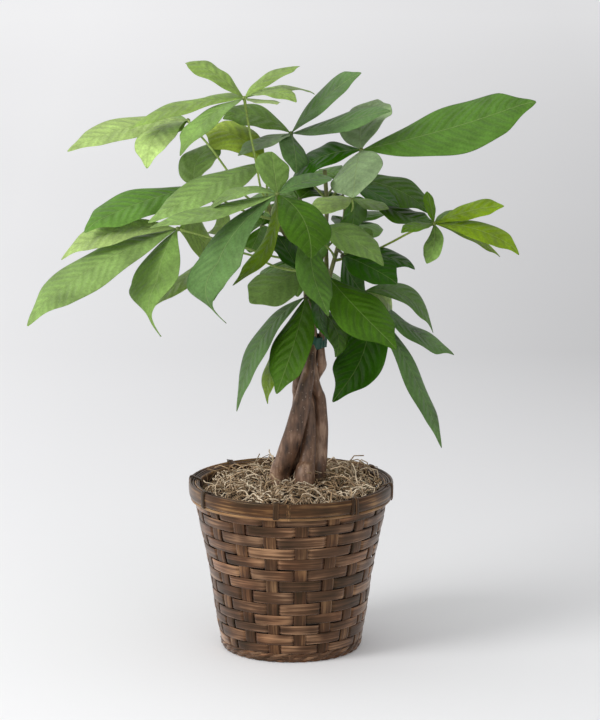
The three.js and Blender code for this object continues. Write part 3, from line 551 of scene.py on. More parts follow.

# The moss. Dried curly moss is teased apart and heaped over the soil and the pot's edge, highest round the
# stems. It is thousands of wiry grey-tan strands in loose curls, with dark gaps down to the imported layer
# under them, which is painted nearly black as shadow.
# In millimetres: radii and heights of the imported layer's rings, the last just past the axis, and how far a
# ring sinks at the left
MOSS_PROFILE = [
    (0.4, 155.5), (32, 155.0), (58, 152.0), (76, 150.0), (82.0, 147.0), (82.1, 139.3), (73.5, 131.0),
    (-0.1, 130.6),
]
SUNK_AT_LEFT = {2: 1.5, 3: 6.0, 4: 8.0}
TOP_RINGS = 5
BED_SIDES = 72
bed_verts, bed_faces = [], []
for ring, (radius, height) in enumerate(MOSS_PROFILE):
    for s in range(BED_SIDES):
        angle = 2 * math.pi * s / BED_SIDES
        lump = 1.3 * math.sin(5 * angle + ring) + 0.9 * math.sin(11 * angle + 2 * ring) if 0 < ring < 4 else 0
        left = max(0.0, math.cos(angle + math.radians(100))) ** 1.5
        bed_height = height - left * SUNK_AT_LEFT.get(ring, 0.0) + lump * (0.8 if ring < 3 else 0.4)
        bed_verts.append(to_side(angle, radius, bed_height) * mm)
for ring in range(len(MOSS_PROFILE) - 1):
    for s in range(BED_SIDES):
        a, b = ring * BED_SIDES + s, ring * BED_SIDES + (s + 1) % BED_SIDES
        bed_faces.append((a, a + BED_SIDES, b + BED_SIDES, b))
bed_faces.append(tuple(range(BED_SIDES)))
last = (len(MOSS_PROFILE) - 1) * BED_SIDES
bed_faces.append(tuple(last + s for s in reversed(range(BED_SIDES))))

# Packed moss: matt, and painted nearly black as the shadow between fine threads
packed_moss_shadow, tree = new_material("packed_moss_painted_shadow")
place = add_node(tree, "TexCoord")
threads = add_node(
    tree,
    "TexNoise",
    {"Vector": place.outputs["Object"], "Scale": 1 / (3.125 * mm), "Detail": 5.0, "Distortion": 2.5},
)
shade = add_node(tree, "ValToRGB", [threads], ramp={0.42: "#0E0905", 0.66: "#21170F"})
depth = add_node(tree, "Bump", {"Height": threads, "Strength": 1.0, "Distance": 1.5 * mm})
surface = add_node(tree, "BsdfPrincipled", {"Base Color": shade, "Roughness": 0.95, "Normal": depth})
add_node(tree, "OutputMaterial", [surface])

moss_bed = new_piece("moss_bed", bed_verts, bed_faces, packed_moss_shadow)
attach(moss_bed, "root")
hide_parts("moss")

# Loose moss: dry matt strands, from bone to tan to brown, each with its own tone
loose_moss, tree = new_material("loose_dried_moss")
own = add_node(tree, "Attribute", attribute_name="strand_tone")
shade = add_node(tree, "ValToRGB", [own.outputs["Fac"]], ramp={0: "#3A2A1D", 0.5: "#B0926F", 1: "#F8E6CA"})
place = add_node(tree, "TexCoord")
spots = add_node(
    tree, "TexNoise", {"Vector": place.outputs["Object"], "Scale": 1 / (4.17 * mm), "Detail": 2.0}
)
dark = add_node(
    tree, "MapRange", {"Value": spots, "From Min": 0.3, "From Max": 0.7, "To Min": 0.65, "To Max": 1.15}
)
toned = add_node(tree, "VectorMath", [shade, dark], operation="MULTIPLY")
surface = add_node(tree, "BsdfPrincipled", {"Base Color": toned, "Roughness": 0.9})
add_node(tree, "OutputMaterial", [surface])

# A packed heap of fine strands, and over it fewer, thicker ones that stand up in open loops. Density is
# strands on a square metre, Tumble how far they lean in radians, Curl how far they stray in metres, and Curl
# Scale how often they turn in a metre.
# The heap under the loops takes the darker strand tones and the loops the paler ones: painted shade under the
# loops
HEAP = {
    "Density": 21000.0,
    "Tumble": 0.6,
    "Curl": 12 * mm,
    "Curl Scale": 85.0,
    "Strand Radius": 0.38 * mm,
    "Heap Radius": 83.5 * mm,
    "Darkest": 0.0,
    "Palest": 0.58,
    "Seed": 4,
    "Moss": loose_moss,
}
LOOPS = HEAP | {
    "Density": 25000.0,
    "Tumble": 1.25,
    "Curl": 11 * mm,
    "Curl Scale": 140.0,
    "Strand Radius": 0.68 * mm,
    "Darkest": 0.36,
    "Palest": 1.0,
    "Seed": 9,
}
kinds = {"Seed": "Int", "Moss": "Material"}
strands, given, moss_keys = new_tree("moss_strands", {label: kinds.get(label, "Float") for label in HEAP})
roots = add_node(
    strands,
    "GeometryNodeDistributePointsOnFaces",
    {"Mesh": given.outputs["Geometry"], "Density": given.outputs["Density"], "Seed": given.outputs["Seed"]},
)
# Each kind of curl: its turns, and the radii in millimetres at which it starts and ends
CURLS = [(1.1, 3.6, 6.2), (0.7, 5.8, 9.5), (1.5, 2.8, 4.6), (0.45, 10.5, 14.5)]
curls = add_node(strands, "GeometryNodeGeometryToInstance")
for rounds, first, last_radius in CURLS:
    curl = add_node(
        strands,
        "GeometryNodeCurveSpiral",
        {
            "Resolution": 16,
            "Rotations": rounds,
            "Start Radius": first * mm,
            "End Radius": last_radius * mm,
            "Height": 3 * mm,
        },
    )
    strands.links.new(curl.outputs[0], curls.inputs[0])
tumble = given.outputs["Tumble"]
which = add_node(strands, "FunctionNodeRandomValue", {4: 0, 5: len(CURLS) - 1, 8: 1}, data_type="INT")
least = add_node(strands, "Math", [tumble, -1.0], operation="MULTIPLY")
least = add_node(strands, "CombineXYZ", [least, least])
most = add_node(strands, "CombineXYZ", [tumble, tumble, 2 * math.pi])
lean = add_node(strands, "FunctionNodeRandomValue", {0: least, 1: most, 8: 2}, data_type="FLOAT_VECTOR")
size = add_node(strands, "FunctionNodeRandomValue", {2: 0.7, 3: 1.5, 8: 3})
heap = add_node(
    strands,
    "GeometryNodeInstanceOnPoints",
    {
        "Points": roots,
        "Instance": curls,
        "Pick Instance": True,
        "Instance Index": which.outputs[2],
        "Rotation": lean,
        "Scale": size.outputs[1],
    },
)
own_tone = add_node(
    strands, "FunctionNodeRandomValue", {2: given.outputs["Darkest"], 3: given.outputs["Palest"], 8: 5}
)
toned = add_node(
    strands,
    "GeometryNodeStoreNamedAttribute",
    {"Geometry": heap, "Name": "strand_tone", "Value": own_tone.outputs[1]},
    data_type="FLOAT",
    domain="INSTANCE",
)
real = add_node(strands, "GeometryNodeRealizeInstances", [toned])
tone_back = add_node(strands, "GeometryNodeInputNamedAttribute", {"Name": "strand_tone"}, data_type="FLOAT")
place = add_node(strands, "GeometryNodeInputPosition")
drift = add_node(strands, "VectorMath", [tone_back, (0.13, 0.07, 0.11)], operation="MULTIPLY")
spread = add_node(strands, "VectorMath", [place, drift], operation="ADD")
tangle = add_node(
    strands, "TexNoise", {"Vector": spread, "Scale": given.outputs["Curl Scale"], "Detail": 1.5}
)
centred = add_node(strands, "VectorMath", [tangle.outputs["Color"], (0.5, 0.5, 0.36)], operation="SUBTRACT")
strayed = add_node(strands, "VectorMath", {0: centred, "Scale": given.outputs["Curl"]}, operation="SCALE")
bent = add_node(strands, "GeometryNodeSetPosition", {"Geometry": real, "Offset": strayed})
# A strand that strays past the wall is pressed back inside the basket
place = add_node(strands, "GeometryNodeInputPosition")
flat = add_node(strands, "VectorMath", [place, (1, 1, 0)], operation="MULTIPLY")
reach = add_node(strands, "VectorMath", [flat], operation="LENGTH").outputs["Value"]
nearer = add_node(strands, "Math", [reach, given.outputs["Heap Radius"]], operation="MINIMUM")
share = add_node(strands, "Math", [nearer, reach], operation="DIVIDE")
sides = add_node(strands, "CombineXYZ", [share, share, 1.0])
inside = add_node(strands, "VectorMath", [place, sides], operation="MULTIPLY")
pressed = add_node(strands, "GeometryNodeSetPosition", {"Geometry": bent, "Position": inside})
thread = add_node(
    strands, "GeometryNodeCurvePrimitiveCircle", {"Resolution": 3, "Radius": given.outputs["Strand Radius"]}
)
swept = add_node(
    strands, "GeometryNodeCurveToMesh", {"Curve": pressed, "Profile Curve": thread, "Fill Caps": True}
)
finished = add_node(
    strands, "GeometryNodeSetMaterial", {"Geometry": swept, "Material": given.outputs["Moss"]}
)
add_node(strands, "NodeGroupOutput", [finished])

top_faces = [face for face in bed_faces if max(face) < TOP_RINGS * BED_SIDES]
for name, sizes in (("moss_heap", HEAP), ("moss_loops", LOOPS)):
    heap = new_piece(name, bed_verts, top_faces, loose_moss)
    grow(heap, strands, moss_keys, sizes)
    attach(heap, "root")

# The stems. Five young trees were planted together and plaited while they could still bend. Each has smooth
# grey-brown bark, swells where it leaves the moss, and turns to a thin green shoot above the tie.
PLAIT_HEIGHTS = [88, 160, 178, 197, 215, 234, 243, 253, 265, 272, 281, 290]
STEMS = {
    "stem_left": (
        [(-14, -8, 8), (-11, -9, 9.7), (-6.5, -12.5, 9.4), (0, -14.5, 9.1), (5.2, -14.5, 8.6),
         (9.8, -13.7, 7.7), (12, -13.2, 7.1), (14, -12.6, 6.5), (16.6, -10.6, 5.4), (17.8, -9, 4.9),
         (19.4, -7.4, 3.9), (21.3, -5.3, 3.1)],
        [(20, -8, 306), (14, -14, 344), (0, -24, 384), (-16, -30, 412), (-23, -30, 430)],
    ),
    "stem_front": (
        [(12, -21, 8), (12.5, -19, 9.7), (14.7, -13, 7.5), (16.5, -7, 6.3), (17, -4, 5.7), (16.5, -1.5, 4.9),
         (15, 3, 4.4), (13.5, 7.5, 4.1), (18.5, 9.2, 3.8), (23.5, 8, 3.6), (25.5, 5.9, 3.3),
         (27.5, 3.3, 3.1)],
        [(30, 5, 306), (33, 9, 338), (32, 20, 384), (33, 22, 412), (31, 20, 446)],
    ),
    "stem_right": (
        [(27, 0, 6.4), (25.2, 1, 7.3), (26.2, 3, 7.2), (27.3, 6, 6.8), (27.3, 4.5, 6.5), (26.8, 2.5, 5.6),
         (24.5, -0.5, 5), (22, -3, 4.6), (20.6, -1.4, 4), (20, 0.5, 3.5), (16.5, -0.5, 3.3), (17.4, 0, 3.1)],
        [(15, 3, 308), (13, 10, 340), (10, 20, 368), (6, 24, 390)],
    ),
    "stem_back_left": (
        [(-5, 13, 7), (-2.5, 10.5, 8), (0.5, 5.5, 7.4), (3, 4, 6.6), (4.5, 3, 5.8), (6.5, 3, 5.2),
         (5.5, 1.5, 4.8), (6.5, -1, 4.7), (11, 3, 4.2), (13, 6.5, 3.7), (17, 6.8, 3.5), (21.3, 5.3, 3.1)],
        [(21, 9, 306), (24, 16, 338), (30, 34, 376), (26, 42, 408)],
    ),
    "stem_back": (
        [(14, 18, 7), (14, 14.5, 8), (14.5, 12.5, 7.2), (15, 12, 6.4), (15, 11.5, 5.6), (19, 10.5, 4.8),
         (21.5, 11, 4.4), (22.5, 7.5, 4.1), (28.3, 2.6, 4.3), (28, -1.5, 4.1), (27.8, -2.4, 3.3),
         (27.5, -3.3, 3.1)],
        [(30, -7, 306), (33, -13, 342), (42, -18, 378), (48, -19, 402), (50, -16, 418)],
    ),
}
# In millimetres: a stem's radius as it leaves the tie, how much its shoot would lose, and the shoot's least
# radius
TIED_RADIUS = 3.1
SHOOT_TAPER = 2.2
SHOOT_RADIUS = 2.0


def smooth_line(points, steps):
    """A smooth line through the points: steps places from each point to the next."""
    points = np.array(points, dtype=float)
    ends = np.vstack([2 * points[0] - points[1], points, 2 * points[-1] - points[-2]])
    line = []
    for i in range(1, len(ends) - 2):
        a, b, c, d = ends[i - 1 : i + 3]
        for t in np.arange(steps) / steps:
            bend = (2 * a - 5 * b + 4 * c - d) * t * t + (3 * b - a - 3 * c + d) * t**3
            line.append(0.5 * (2 * b + (c - a) * t + bend))
    line.append(points[-1])
    return np.array(line)


def stem_line(name):
    """Middles and radii along a stem, from its root to the tip of its shoot, in millimetres."""
    plait, shoot = STEMS[name]
    rows = [(x, y, z, r) for (x, y, r), z in zip(plait, PLAIT_HEIGHTS)]
    for i, point in enumerate(shoot, start=1):
        rows.append((*point, max(SHOOT_RADIUS, TIED_RADIUS - SHOOT_TAPER * i / len(shoot))))
    return smooth_line(rows, 10)


def tube(line, sides, rough=None):
    """A round bar along rows of x, y, z and radius: its points and its faces. Rough changes the radius."""
    verts, faces = [], []
    side = None
    for i, row in enumerate(line):
        centre = Vector(row[:3])
        ahead = Vector(line[min(i + 1, len(line) - 1)][:3]) - Vector(line[max(i - 1, 0)][:3])
        ahead.normalize()
        if side is None:
            side = ahead.orthogonal().normalized()
        side = (side - ahead * side.dot(ahead)).normalized()
        other = ahead.cross(side)
        for s in range(sides):
            turn = 2 * math.pi * s / sides
            radius = row[3] + (rough(turn, row) if rough else 0)
            verts.append(centre + (side * math.cos(turn) + other * math.sin(turn)) * radius)
    last = (len(line) - 1) * sides
    for first in range(0, last, sides):
        for s in range(sides):
            t = (s + 1) % sides
            faces.append((first + s, first + t, first + sides + t, first + sides + s))
    faces.append(tuple(reversed(range(sides))))
    faces.append(tuple(last + s for s in range(sides)))
    return verts, faces


# Bark: matt and grey-brown with a pink cast, in fine upright cracks, with small pale pores in short rows. It
# turns to the green-brown skin of a young shoot above the plait.
UPRIGHT = (1.0, 1.0, 0.16)
bark, tree = new_material("grey_brown_bark")
place = add_node(tree, "TexCoord").outputs["Object"]
drawn = add_node(tree, "Mapping", {"Vector": place, "Scale": UPRIGHT})
cracks = add_node(
    tree, "TexNoise", {"Vector": drawn, "Scale": 1 / (2.38 * mm), "Detail": 4.0, "Roughness": 0.62}
)
bands = add_node(tree, "TexNoise", {"Vector": drawn, "Scale": 1 / (11.1 * mm), "Detail": 3.0})
blotches = add_node(tree, "TexNoise", {"Vector": place, "Scale": 1 / (14.3 * mm), "Detail": 3.0})
mixed = add_node(tree, "Math", [cracks, 0.5, bands], operation="MULTIPLY_ADD")
mixed = add_node(tree, "Math", [blotches, 0.6, mixed], operation="MULTIPLY_ADD")
level = add_node(tree, "MapRange", {"Value": mixed, "From Min": 0.76, "From Max": 1.34})
wood = add_node(tree, "ValToRGB", [level], ramp={0: "#21150F", 0.5: "#6C4F3B", 1: "#AE8F78"})
pores = add_node(tree, "TexVoronoi", {"Vector": place, "Scale": 1 / (3.85 * mm)})
pore = add_node(
    tree, "MapRange", {"Value": pores, "From Min": 0.12, "From Max": 0.2, "To Min": 0.55, "To Max": 0.0}
)
pored = add_node(tree, "Mix", {0: pore, 6: wood, 7: tint("#A68E7C")}, data_type="RGBA")
height = add_node(tree, "SeparateXYZ", [place]).outputs["Z"]
young = add_node(tree, "MapRange", {"Value": height, "From Min": 292 * mm, "From Max": 345 * mm})
green = add_node(tree, "ValToRGB", [cracks], ramp={0: "#4A4A26", 1: "#8C9150"})
aged = add_node(tree, "Mix", {0: young, 6: pored.outputs[2], 7: green}, data_type="RGBA").outputs[2]
relief = add_node(tree, "Bump", {"Height": cracks, "Strength": 0.45, "Distance": 0.5 * mm})
surface = add_node(
    tree,
    "BsdfPrincipled",
    {"Base Color": aged, "Roughness": 0.48, "Specular IOR Level": 0.45, "Normal": relief},
)
add_node(tree, "OutputMaterial", [surface])

for number, name in enumerate(STEMS):
    def lumps(turn, row, k=number):
        """How far a stem swells at a turn round it and a place along it: less above the tie."""
        height, radius = row[2:]
        swell = 0.045 * math.sin(2 * turn + height * 0.04 + k)
        swell += 0.022 * math.sin(3 * turn - height * 0.09 + 2 * k)
        swell += 0.014 * math.sin(height * 0.23 + k * 1.7 + math.sin(turn + k))
        return radius * swell * (1.0 if height < 300 else 0.3)

    verts, faces = tube(stem_line(name), 28, lumps)
    stem = new_piece(name + "_bark", [v * mm for v in verts], faces, bark)
    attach(stem, "root")
    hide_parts(name)

# The tie. Green-blue stretch tape is wound round the five stems where the plait ends, a little askew each
# turn. It is soft vinyl with a satin face, and it creases where it is pulled tight.
# In millimetres: the winding's middle and inner radius, its lower end and rise, and half the tape's width
TIE_CENTRE = Vector((22.8, 0.0, 0.0))
TIE_RADIUS = 9.0
TIE_LOW_END = 285.6
TIE_RISE = 8.4
TAPE_HALF_WIDE = 2.3
TIE_TURNS = 4
tie_tape, tree = new_material("stretch_tape_vinyl")
strip = add_node(tree, "Attribute", attribute_name="strip")
wrinkles = add_node(
    tree, "TexNoise", {"Vector": strip.outputs["Vector"], "Scale": 1 / (3.85 * mm), "Detail": 3.0}
)
shade = add_node(tree, "ValToRGB", [wrinkles], ramp={0: "#06281F", 1: "#15664F"})
creases = add_node(tree, "Bump", {"Height": wrinkles, "Strength": 0.6, "Distance": 0.5 * mm})
surface = add_node(tree, "BsdfPrincipled", {"Base Color": shade, "Roughness": 0.42, "Normal": creases})
add_node(tree, "OutputMaterial", [surface])

winding = []
for share in np.linspace(0, 1, TIE_TURNS * 60 + 1):
    angle = share * TIE_TURNS * 2 * math.pi
    radius = TIE_RADIUS + 0.55 * math.sin(5 * angle) + 0.5 * share + 0.25 * math.sin(13 * angle + 1)
    height = TIE_LOW_END + TIE_RISE * share + 0.5 * math.sin(angle * 1.7)
    out = to_side(angle)
    wide = (UP + out * 0.12 * math.sin(angle * 3)).normalized()
    winding.append((TIE_CENTRE + UP * height + out * radius, wide, out, TAPE_HALF_WIDE))
tape = strip_piece("braid_tie_tape", [winding], tie_tape, 0.3, crown=0.4)
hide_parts("braid_tie")

# The leaves. Each is a hand of leaflets on one stalk. A leaflet is a thin, soft, glossy blade, folded up a
# little along its pale midrib, quilted between its side veins, wavy at its edge and drawn out to a tip.
# A row gives a leaf's node, its stem, the height at which its stalk joins, its hub, the points its stalk
# passes, and its leaflets: the middle and the tip of the midrib from the hub, the width, the blade's roll in
# degrees, its tone. Two blades have one number more, the share of their length that is drawn out to a thin
# tip. All sizes are in millimetres.
LEAVES = [
    ("leaf_top_left", "stem_left", 421, (-42, -30, 520),
     [(-38, -40, 497), (-31, -46, 462), (-27, -44, 440)], [
        ((-28, 8, 22), (-54, 24, 31), 32, 10, "y"),
        ((22, 16, 16), (50, 38, 25), 26, 0, "y"),
        ((34, 42, 3), (64, 70, -6), 26, -5, "y"),
        ((25, -20, 9), (47, -42, 3), 24, -10, "y"),
        ((17, -32, 2), (30, -58, 4), 22, 0, "w"),
        ((-32, -32, -13), (-56, -58, -40), 36, -5, "c"),
        ((-53, -4, -6), (-105, -10, -26), 36, 10, "y"),
        ((-19, 30, -1), (-37, 56, -8), 24, 5, "y"),
    ]),
    ("leaf_upper_left", "stem_left", 413, (-94, 6, 494),
     [(-87, -10, 488), (-73, -28, 475), (-57, -20, 451), (-44, -24, 432)], [
        ((-52, -14, -4), (-109, -38, -21), 44, 15, "w"),
        ((-26, -36, -6), (-36, -58, -33), 40, -5, "w"),
        ((-25, 24, -8), (-48, 42, -27), 30, 30, "l"),
        ((-14, -18, -8), (-25, -36, -17), 24, -15, "w"),
    ]),
    ("leaf_left", "stem_left", 408, (-85, -26, 438), [(-62, -34, 427), (-39, -34, 416)], [
        ((-1, 16, 20), (20, 40, 37), 42, 10, "l"),
        ((-51, -20, -11), (-102, -48, -29), 54, 15, "m"),
        ((23, -14, -24), (9, -24, -38), 30, 45, "w"),
    ]),
    ("leaf_top_middle", "stem_front", 418, (0, 12, 481), [(8, 18, 455), (19, 22, 434)], [
        ((-31, 0, 16), (-62, -6, 16), 38, 25, "c"),
        ((-21, -26, -2), (-48, -44, -13), 32, 0, "p"),
        ((30, -8, 33), (64, -18, 60), 40, -30, "b"),
        ((47, -38, 17), (90, -62, 32), 40, -25, "b"),
        ((3, -28, -10), (5, -44, -28), 34, 35, "b"),
    ]),
    ("leaf_upper_right", "stem_front", 414, (64, -26, 472), [(56, -12, 453), (45, 6, 433)], [
        ((82, -10, 22), (157, -18, 50), 66, -35, "n"),
        ((2, 32, 21), (16, 58, 39), 54, 20, "p"),
        ((-5, -38, -12), (-8, -66, -32), 52, -25, "p"),
        ((-35, 6, -7), (-63, 20, -27), 46, 25, "k"),
    ]),
    ("leaf_front", "stem_left", 402, (-12, -92, 443), [(-14, -76, 432), (-17, -48, 417)], [
        ((-3, 8, 19), (-5, 20, 36), 38, -25, "c"),
        ((26, 18, 9), (49, 42, 9), 30, -10, "b"),
        ((-33, 2, 2), (-64, 0, -16), 28, 10, "l"),
        ((-50, -32, -50), (-49, -46, -107), 54, 0, "b", 0.27),
        ((23, -26, -18), (30, -42, -50), 52, 0, "d"),
        ((-8, 6, -46), (-40, -12, -80), 34, 5, "v"),
        ((-55, -12, -14), (-113, -30, -23), 34, 10, "l"),
    ]),
    ("leaf_inner_left", "stem_left", 425, (-23, -14, 459), [(-22, -20, 443)], [
        ((-46, -40, -14), (-105, -74, -42), 48, 10, "l"),
        ((-27, 16, 21), (-57, 28, 24), 50, 20, "z"),
    ]),
    ("leaf_lower_left", "stem_left", 370, (-102, -62, 406),
     [(-75, -58, 398), (-38, -44, 384), (-16, -32, 375)], [
        ((-54, -2, -1), (-105, -8, -23), 40, 20, "w"),
        ((-72, -30, -28), (-134, -62, -71), 56, 15, "l"),
        ((-17, -32, -37), (-17, -54, -87), 58, -25, "c", 0.42),
        ((20, 34, -16), (33, 60, -42), 44, -70, "w"),
        ((-49, 22, -14), (-85, 26, -34), 30, 20, "x"),
    ]),
    ("leaf_young_right", "stem_back", 368, (130, -30, 405),
     [(110, -32, 398), (90, -20, 385), (72, -5, 374)], [
        ((-3, 4, 15), (-6, 10, 29), 16, -20, "g"),
        ((32, -8, 13), (63, -14, 19), 26, -30, "v"),
        ((41, -20, -3), (77, -32, -20), 30, -20, "v"),
        ((33, 8, -13), (61, 16, -33), 22, -20, "v"),
        ((0, -12, -17), (-7, -20, -33), 24, -25, "c"),
        ((-15, -16, 1), (-30, -28, -2), 18, 15, "g"),
        ((14, 20, 6), (25, 36, 6), 18, 5, "g"),
    ]),
    ("leaf_inner_right", "stem_front", 407, (56, 14, 438), [(47, 17, 422)], [
        ((40, 0, -9), (70, -10, -28), 48, -20, "d"),
        ((40, -12, -28), (74, -24, -33), 40, -10, "d"),
        ((20, -20, -9), (43, -28, -19), 36, -5, "k"),
    ]),
    ("leaf_small_middle", "stem_back", 405, (55, -30, 429), [(56, -26, 419)], [
        ((-16, -14, -2), (-35, -28, -10), 34, 10, "w"),
        ((17, -4, -5), (34, -8, -8), 26, -10, "l"),
        ((2, 8, -15), (0, 12, -34), 38, 50, "k"),
    ]),
    ("leaf_front_right", "stem_back", 371, (19, -66, 407), [(25, -54, 396), (36, -34, 381)], [
        ((31, -12, -5), (64, -24, -27), 46, -15, "c"),
        ((0, -26, -33), (15, -48, -68), 44, 30, "m"),
    ]),
    ("leaf_low_middle_left", "stem_left", 339, (7, -48, 364), [(10, -34, 352)], [
        ((-21, -18, -9), (-44, -32, -22), 48, 20, "l"),
        ((-10, 8, 17), (-21, 18, 32), 40, -5, "k"),
    ]),
    ("leaf_low_front", "stem_left", 322, (14, -52, 342), [(16, -36, 332)], [
        ((-11, -24, -39), (-27, -42, -81), 52, -15, "d"),
        ((-41, 0, -41), (-63, -6, -103), 40, 15, "b"),
        ((-29, 8, -63), (-36, 8, -99), 30, 35, "v"),
        ((26, -14, -27), (26, -24, -51), 34, 10, "d"),
    ]),
    ("leaf_low_front_right", "stem_back", 346, (33, -58, 362), [(36, -40, 354)], [
        ((26, -26, -25), (62, -50, -56), 60, -10, "d"),
        ((-8, -26, -28), (3, -42, -50), 30, 60, "k"),
    ]),
    ("leaf_right", "stem_back", 379, (47, -40, 377), [(47, -30, 377)], [
        ((23, -14, -7), (49, -26, -20), 50, -15, "k"),
        ((36, 10, -2), (66, 6, -12), 38, -15, "k"),
        ((17, 16, 12), (28, 20, 18), 28, -15, "c"),
        ((7, 8, -20), (21, 12, -39), 40, -55, "k"),
    ]),
    ("leaf_low_right", "stem_front", 326, (67, 10, 334), [(56, 12, 329)], [
        ((1, -32, -46), (-29, -50, -91), 58, -10, "k"),
        ((44, -8, -74), (73, -16, -143), 38, -10, "b"),
        ((45, 10, -39), (85, 12, -59), 42, -15, "b"),
        ((41, 14, -8), (64, 14, -40), 44, -20, "m"),
        ((21, 16, -12), (25, 20, -29), 26, -50, "x"),
    ]),
    ("leaf_low_inner_left", "stem_left", 358, (-53, -40, 382), [(-33, -32, 375), (-15, -22, 364)], [
        ((-37, -20, -18), (-75, -34, -47), 36, 0, "w"),
        ((-10, -18, -21), (-17, -34, -38), 30, -35, "d"),
    ]),
    ("leaf_back_top", "stem_back_left", 384, (8, 72, 409), [(16, 56, 402), (23, 42, 393)], [
        ((-30, 24, 1), (-60, 46, -16), 46, 15, "m"),
        ((-9, 46, 3), (-15, 90, -14), 50, 5, "d"),
        ((17, 40, 2), (36, 78, -16), 48, -10, "d"),
        ((-19, -10, -4), (-35, -12, -15), 34, 0, "m"),
    ]),
    ("leaf_back_right", "stem_back_left", 368, (53, 62, 386), [(45, 50, 382), (38, 38, 375)], [
        ((24, 18, 8), (51, 36, 6), 44, 5, "m"),
        ((8, 46, -5), (9, 90, -34), 50, -10, "m"),
        ((-13, 42, -10), (-29, 80, -38), 46, 10, "d"),
        ((13, 14, -16), (17, 22, -40), 40, -25, "m"),
    ]),
    ("leaf_back_low", "stem_right", 339, (8, 62, 352), [(12, 46, 349), (14, 32, 344)], [
        ((-17, 22, -4), (-32, 42, -25), 44, 15, "m"),
        ((-2, 42, -12), (-2, 78, -48), 48, 5, "d"),
        ((19, 30, -12), (38, 56, -40), 46, -15, "m"),
    ]),
    ("leaf_back_left", "stem_right", 384, (-27, 60, 386), [(-15, 48, 385), (-3, 34, 384)], [
        ((-21, 16, -1), (-38, 32, -19), 44, 10, "m"),
        ((-12, 34, -1), (-18, 70, -23), 48, 5, "m"),
        ((7, 32, 6), (15, 72, -17), 46, -5, "d"),
        ((-4, -10, -8), (-11, -20, -21), 38, -20, "d"),
    ]),
    ("leaf_back_upper", "stem_back_left", 406, (44, 62, 429), [(36, 52, 420)], [
        ((21, 18, 4), (40, 38, -10), 44, -10, "m"),
        ((6, 34, 5), (10, 76, -15), 48, 5, "m"),
        ((-17, 30, 4), (-32, 62, -13), 46, 10, "m"),
    ]),
    ("leaf_inner_middle", "stem_front", 377, (36, 4, 387), [(34, 12, 382)], [
        ((19, 10, 0), (38, 16, -10), 38, -10, "d"),
        ((-15, -8, -10), (-28, -12, -24), 38, 10, "m"),
        ((18, 4, -16), (31, 4, -38), 36, -10, "d"),
    ]),
]
# Each tone: the colour of a blade, and of the stalk under a blade of that tone. The tones are partly the
# leaves' own greens and partly painted light and shade: x, z and w are pale as painted light, for sheen,
# light through the blade and leaflets lifted out of the shade of others; p and b hold a painted bluish sheen;
# k is dark as painted shade on leaflets turned away from the light.
LEAF_TONES_AND_PAINTED_LIGHT = {
    "x": ("#CBDDA0", "#A8BC68"), "z": ("#B9CF58", "#9CB04E"), "w": ("#B1C97C", "#9DB35C"),
    "y": ("#98B65C", "#93A94E"), "l": ("#93B266", "#8DA24E"), "c": ("#84A656", "#7F9440"),
    "m": ("#658F3C", "#6F7F3C"), "b": ("#688C50", "#75853F"), "p": ("#91A97C", "#8A9A50"),
    "v": ("#8CAB24", "#8A9C3E"), "g": ("#668F1C", "#8A9C3E"), "n": ("#588130", "#7A8A3C"),
    "d": ("#4A7418", "#5A5A30"), "k": ("#33660A", "#4E5228"),
}

# Living leaf: a waxy green skin, satin to glossy, over thin tissue that lets some light through. The veins
# are pale and sunk, and the skin between them swells. They leave the midrib in turn on its two sides and
# curve to the tip.
VEIN_STEP = 10.2 * mm
STAGGER = 0.42 * VEIN_STEP
VEIN_SLOPE = 0.62
VEIN_CURVE = 16.0
VEIN_PALE = 0.085
MIDRIB_PALE = 0.36
leaf_skin, tree = new_material("waxy_leaf_skin")
blade = add_node(tree, "Attribute", attribute_name="blade").outputs["Vector"]
across, along, leaflet_number = add_node(tree, "SeparateXYZ", [blade]).outputs
share = add_node(tree, "Attribute", attribute_name="share").outputs["Vector"]
shares = add_node(tree, "SeparateXYZ", [share])
tone = add_node(tree, "Attribute", attribute_name="tone")
from_midrib = add_node(tree, "Math", [across], operation="ABSOLUTE")
right_side = add_node(tree, "Math", [across, 0.0], operation="GREATER_THAN")
rising = add_node(tree, "Math", [from_midrib, VEIN_SLOPE], operation="MULTIPLY")
squared = add_node(tree, "Math", [from_midrib, from_midrib], operation="MULTIPLY")
curving = add_node(tree, "Math", [squared, VEIN_CURVE, rising], operation="MULTIPLY_ADD")
wobble = add_node(tree, "TexNoise", {"Vector": blade, "Scale": 1 / (16.67 * mm), "Detail": 1.0})
wobbled = add_node(tree, "Math", [wobble, 5 * mm, curving], operation="MULTIPLY_ADD")
vein_run = add_node(tree, "Math", [along, wobbled], operation="SUBTRACT")
vein_run = add_node(tree, "Math", [right_side, STAGGER, vein_run], operation="MULTIPLY_ADD")
turn = add_node(tree, "Math", [vein_run, 2 * math.pi / VEIN_STEP], operation="MULTIPLY")
wave = add_node(tree, "Math", [turn], operation="COSINE")
vein = add_node(tree, "MapRange", {"Value": wave, "From Min": 0.9, "From Max": 0.995})
edge_fade = add_node(tree, "MapRange", {"Value": shares.outputs["X"], "From Min": 0.95, "From Max": 0.45})
lines = add_node(tree, "Math", [vein, edge_fade], operation="MULTIPLY")
lines = add_node(tree, "Math", [lines, VEIN_PALE], operation="MULTIPLY")
midrib = add_node(tree, "MapRange", {"Value": from_midrib, "From Min": 0.75 * mm, "From Max": 0.2 * mm})
midrib_pale = add_node(tree, "Math", [midrib, MIDRIB_PALE], operation="MULTIPLY")
pale = add_node(tree, "Math", [lines, midrib_pale], operation="MAXIMUM")
skin_side = shares.outputs["Z"]
under = add_node(tree, "MapRange", {"Value": skin_side, "From Min": 0.2, "From Max": -0.2, "To Max": 0.2})
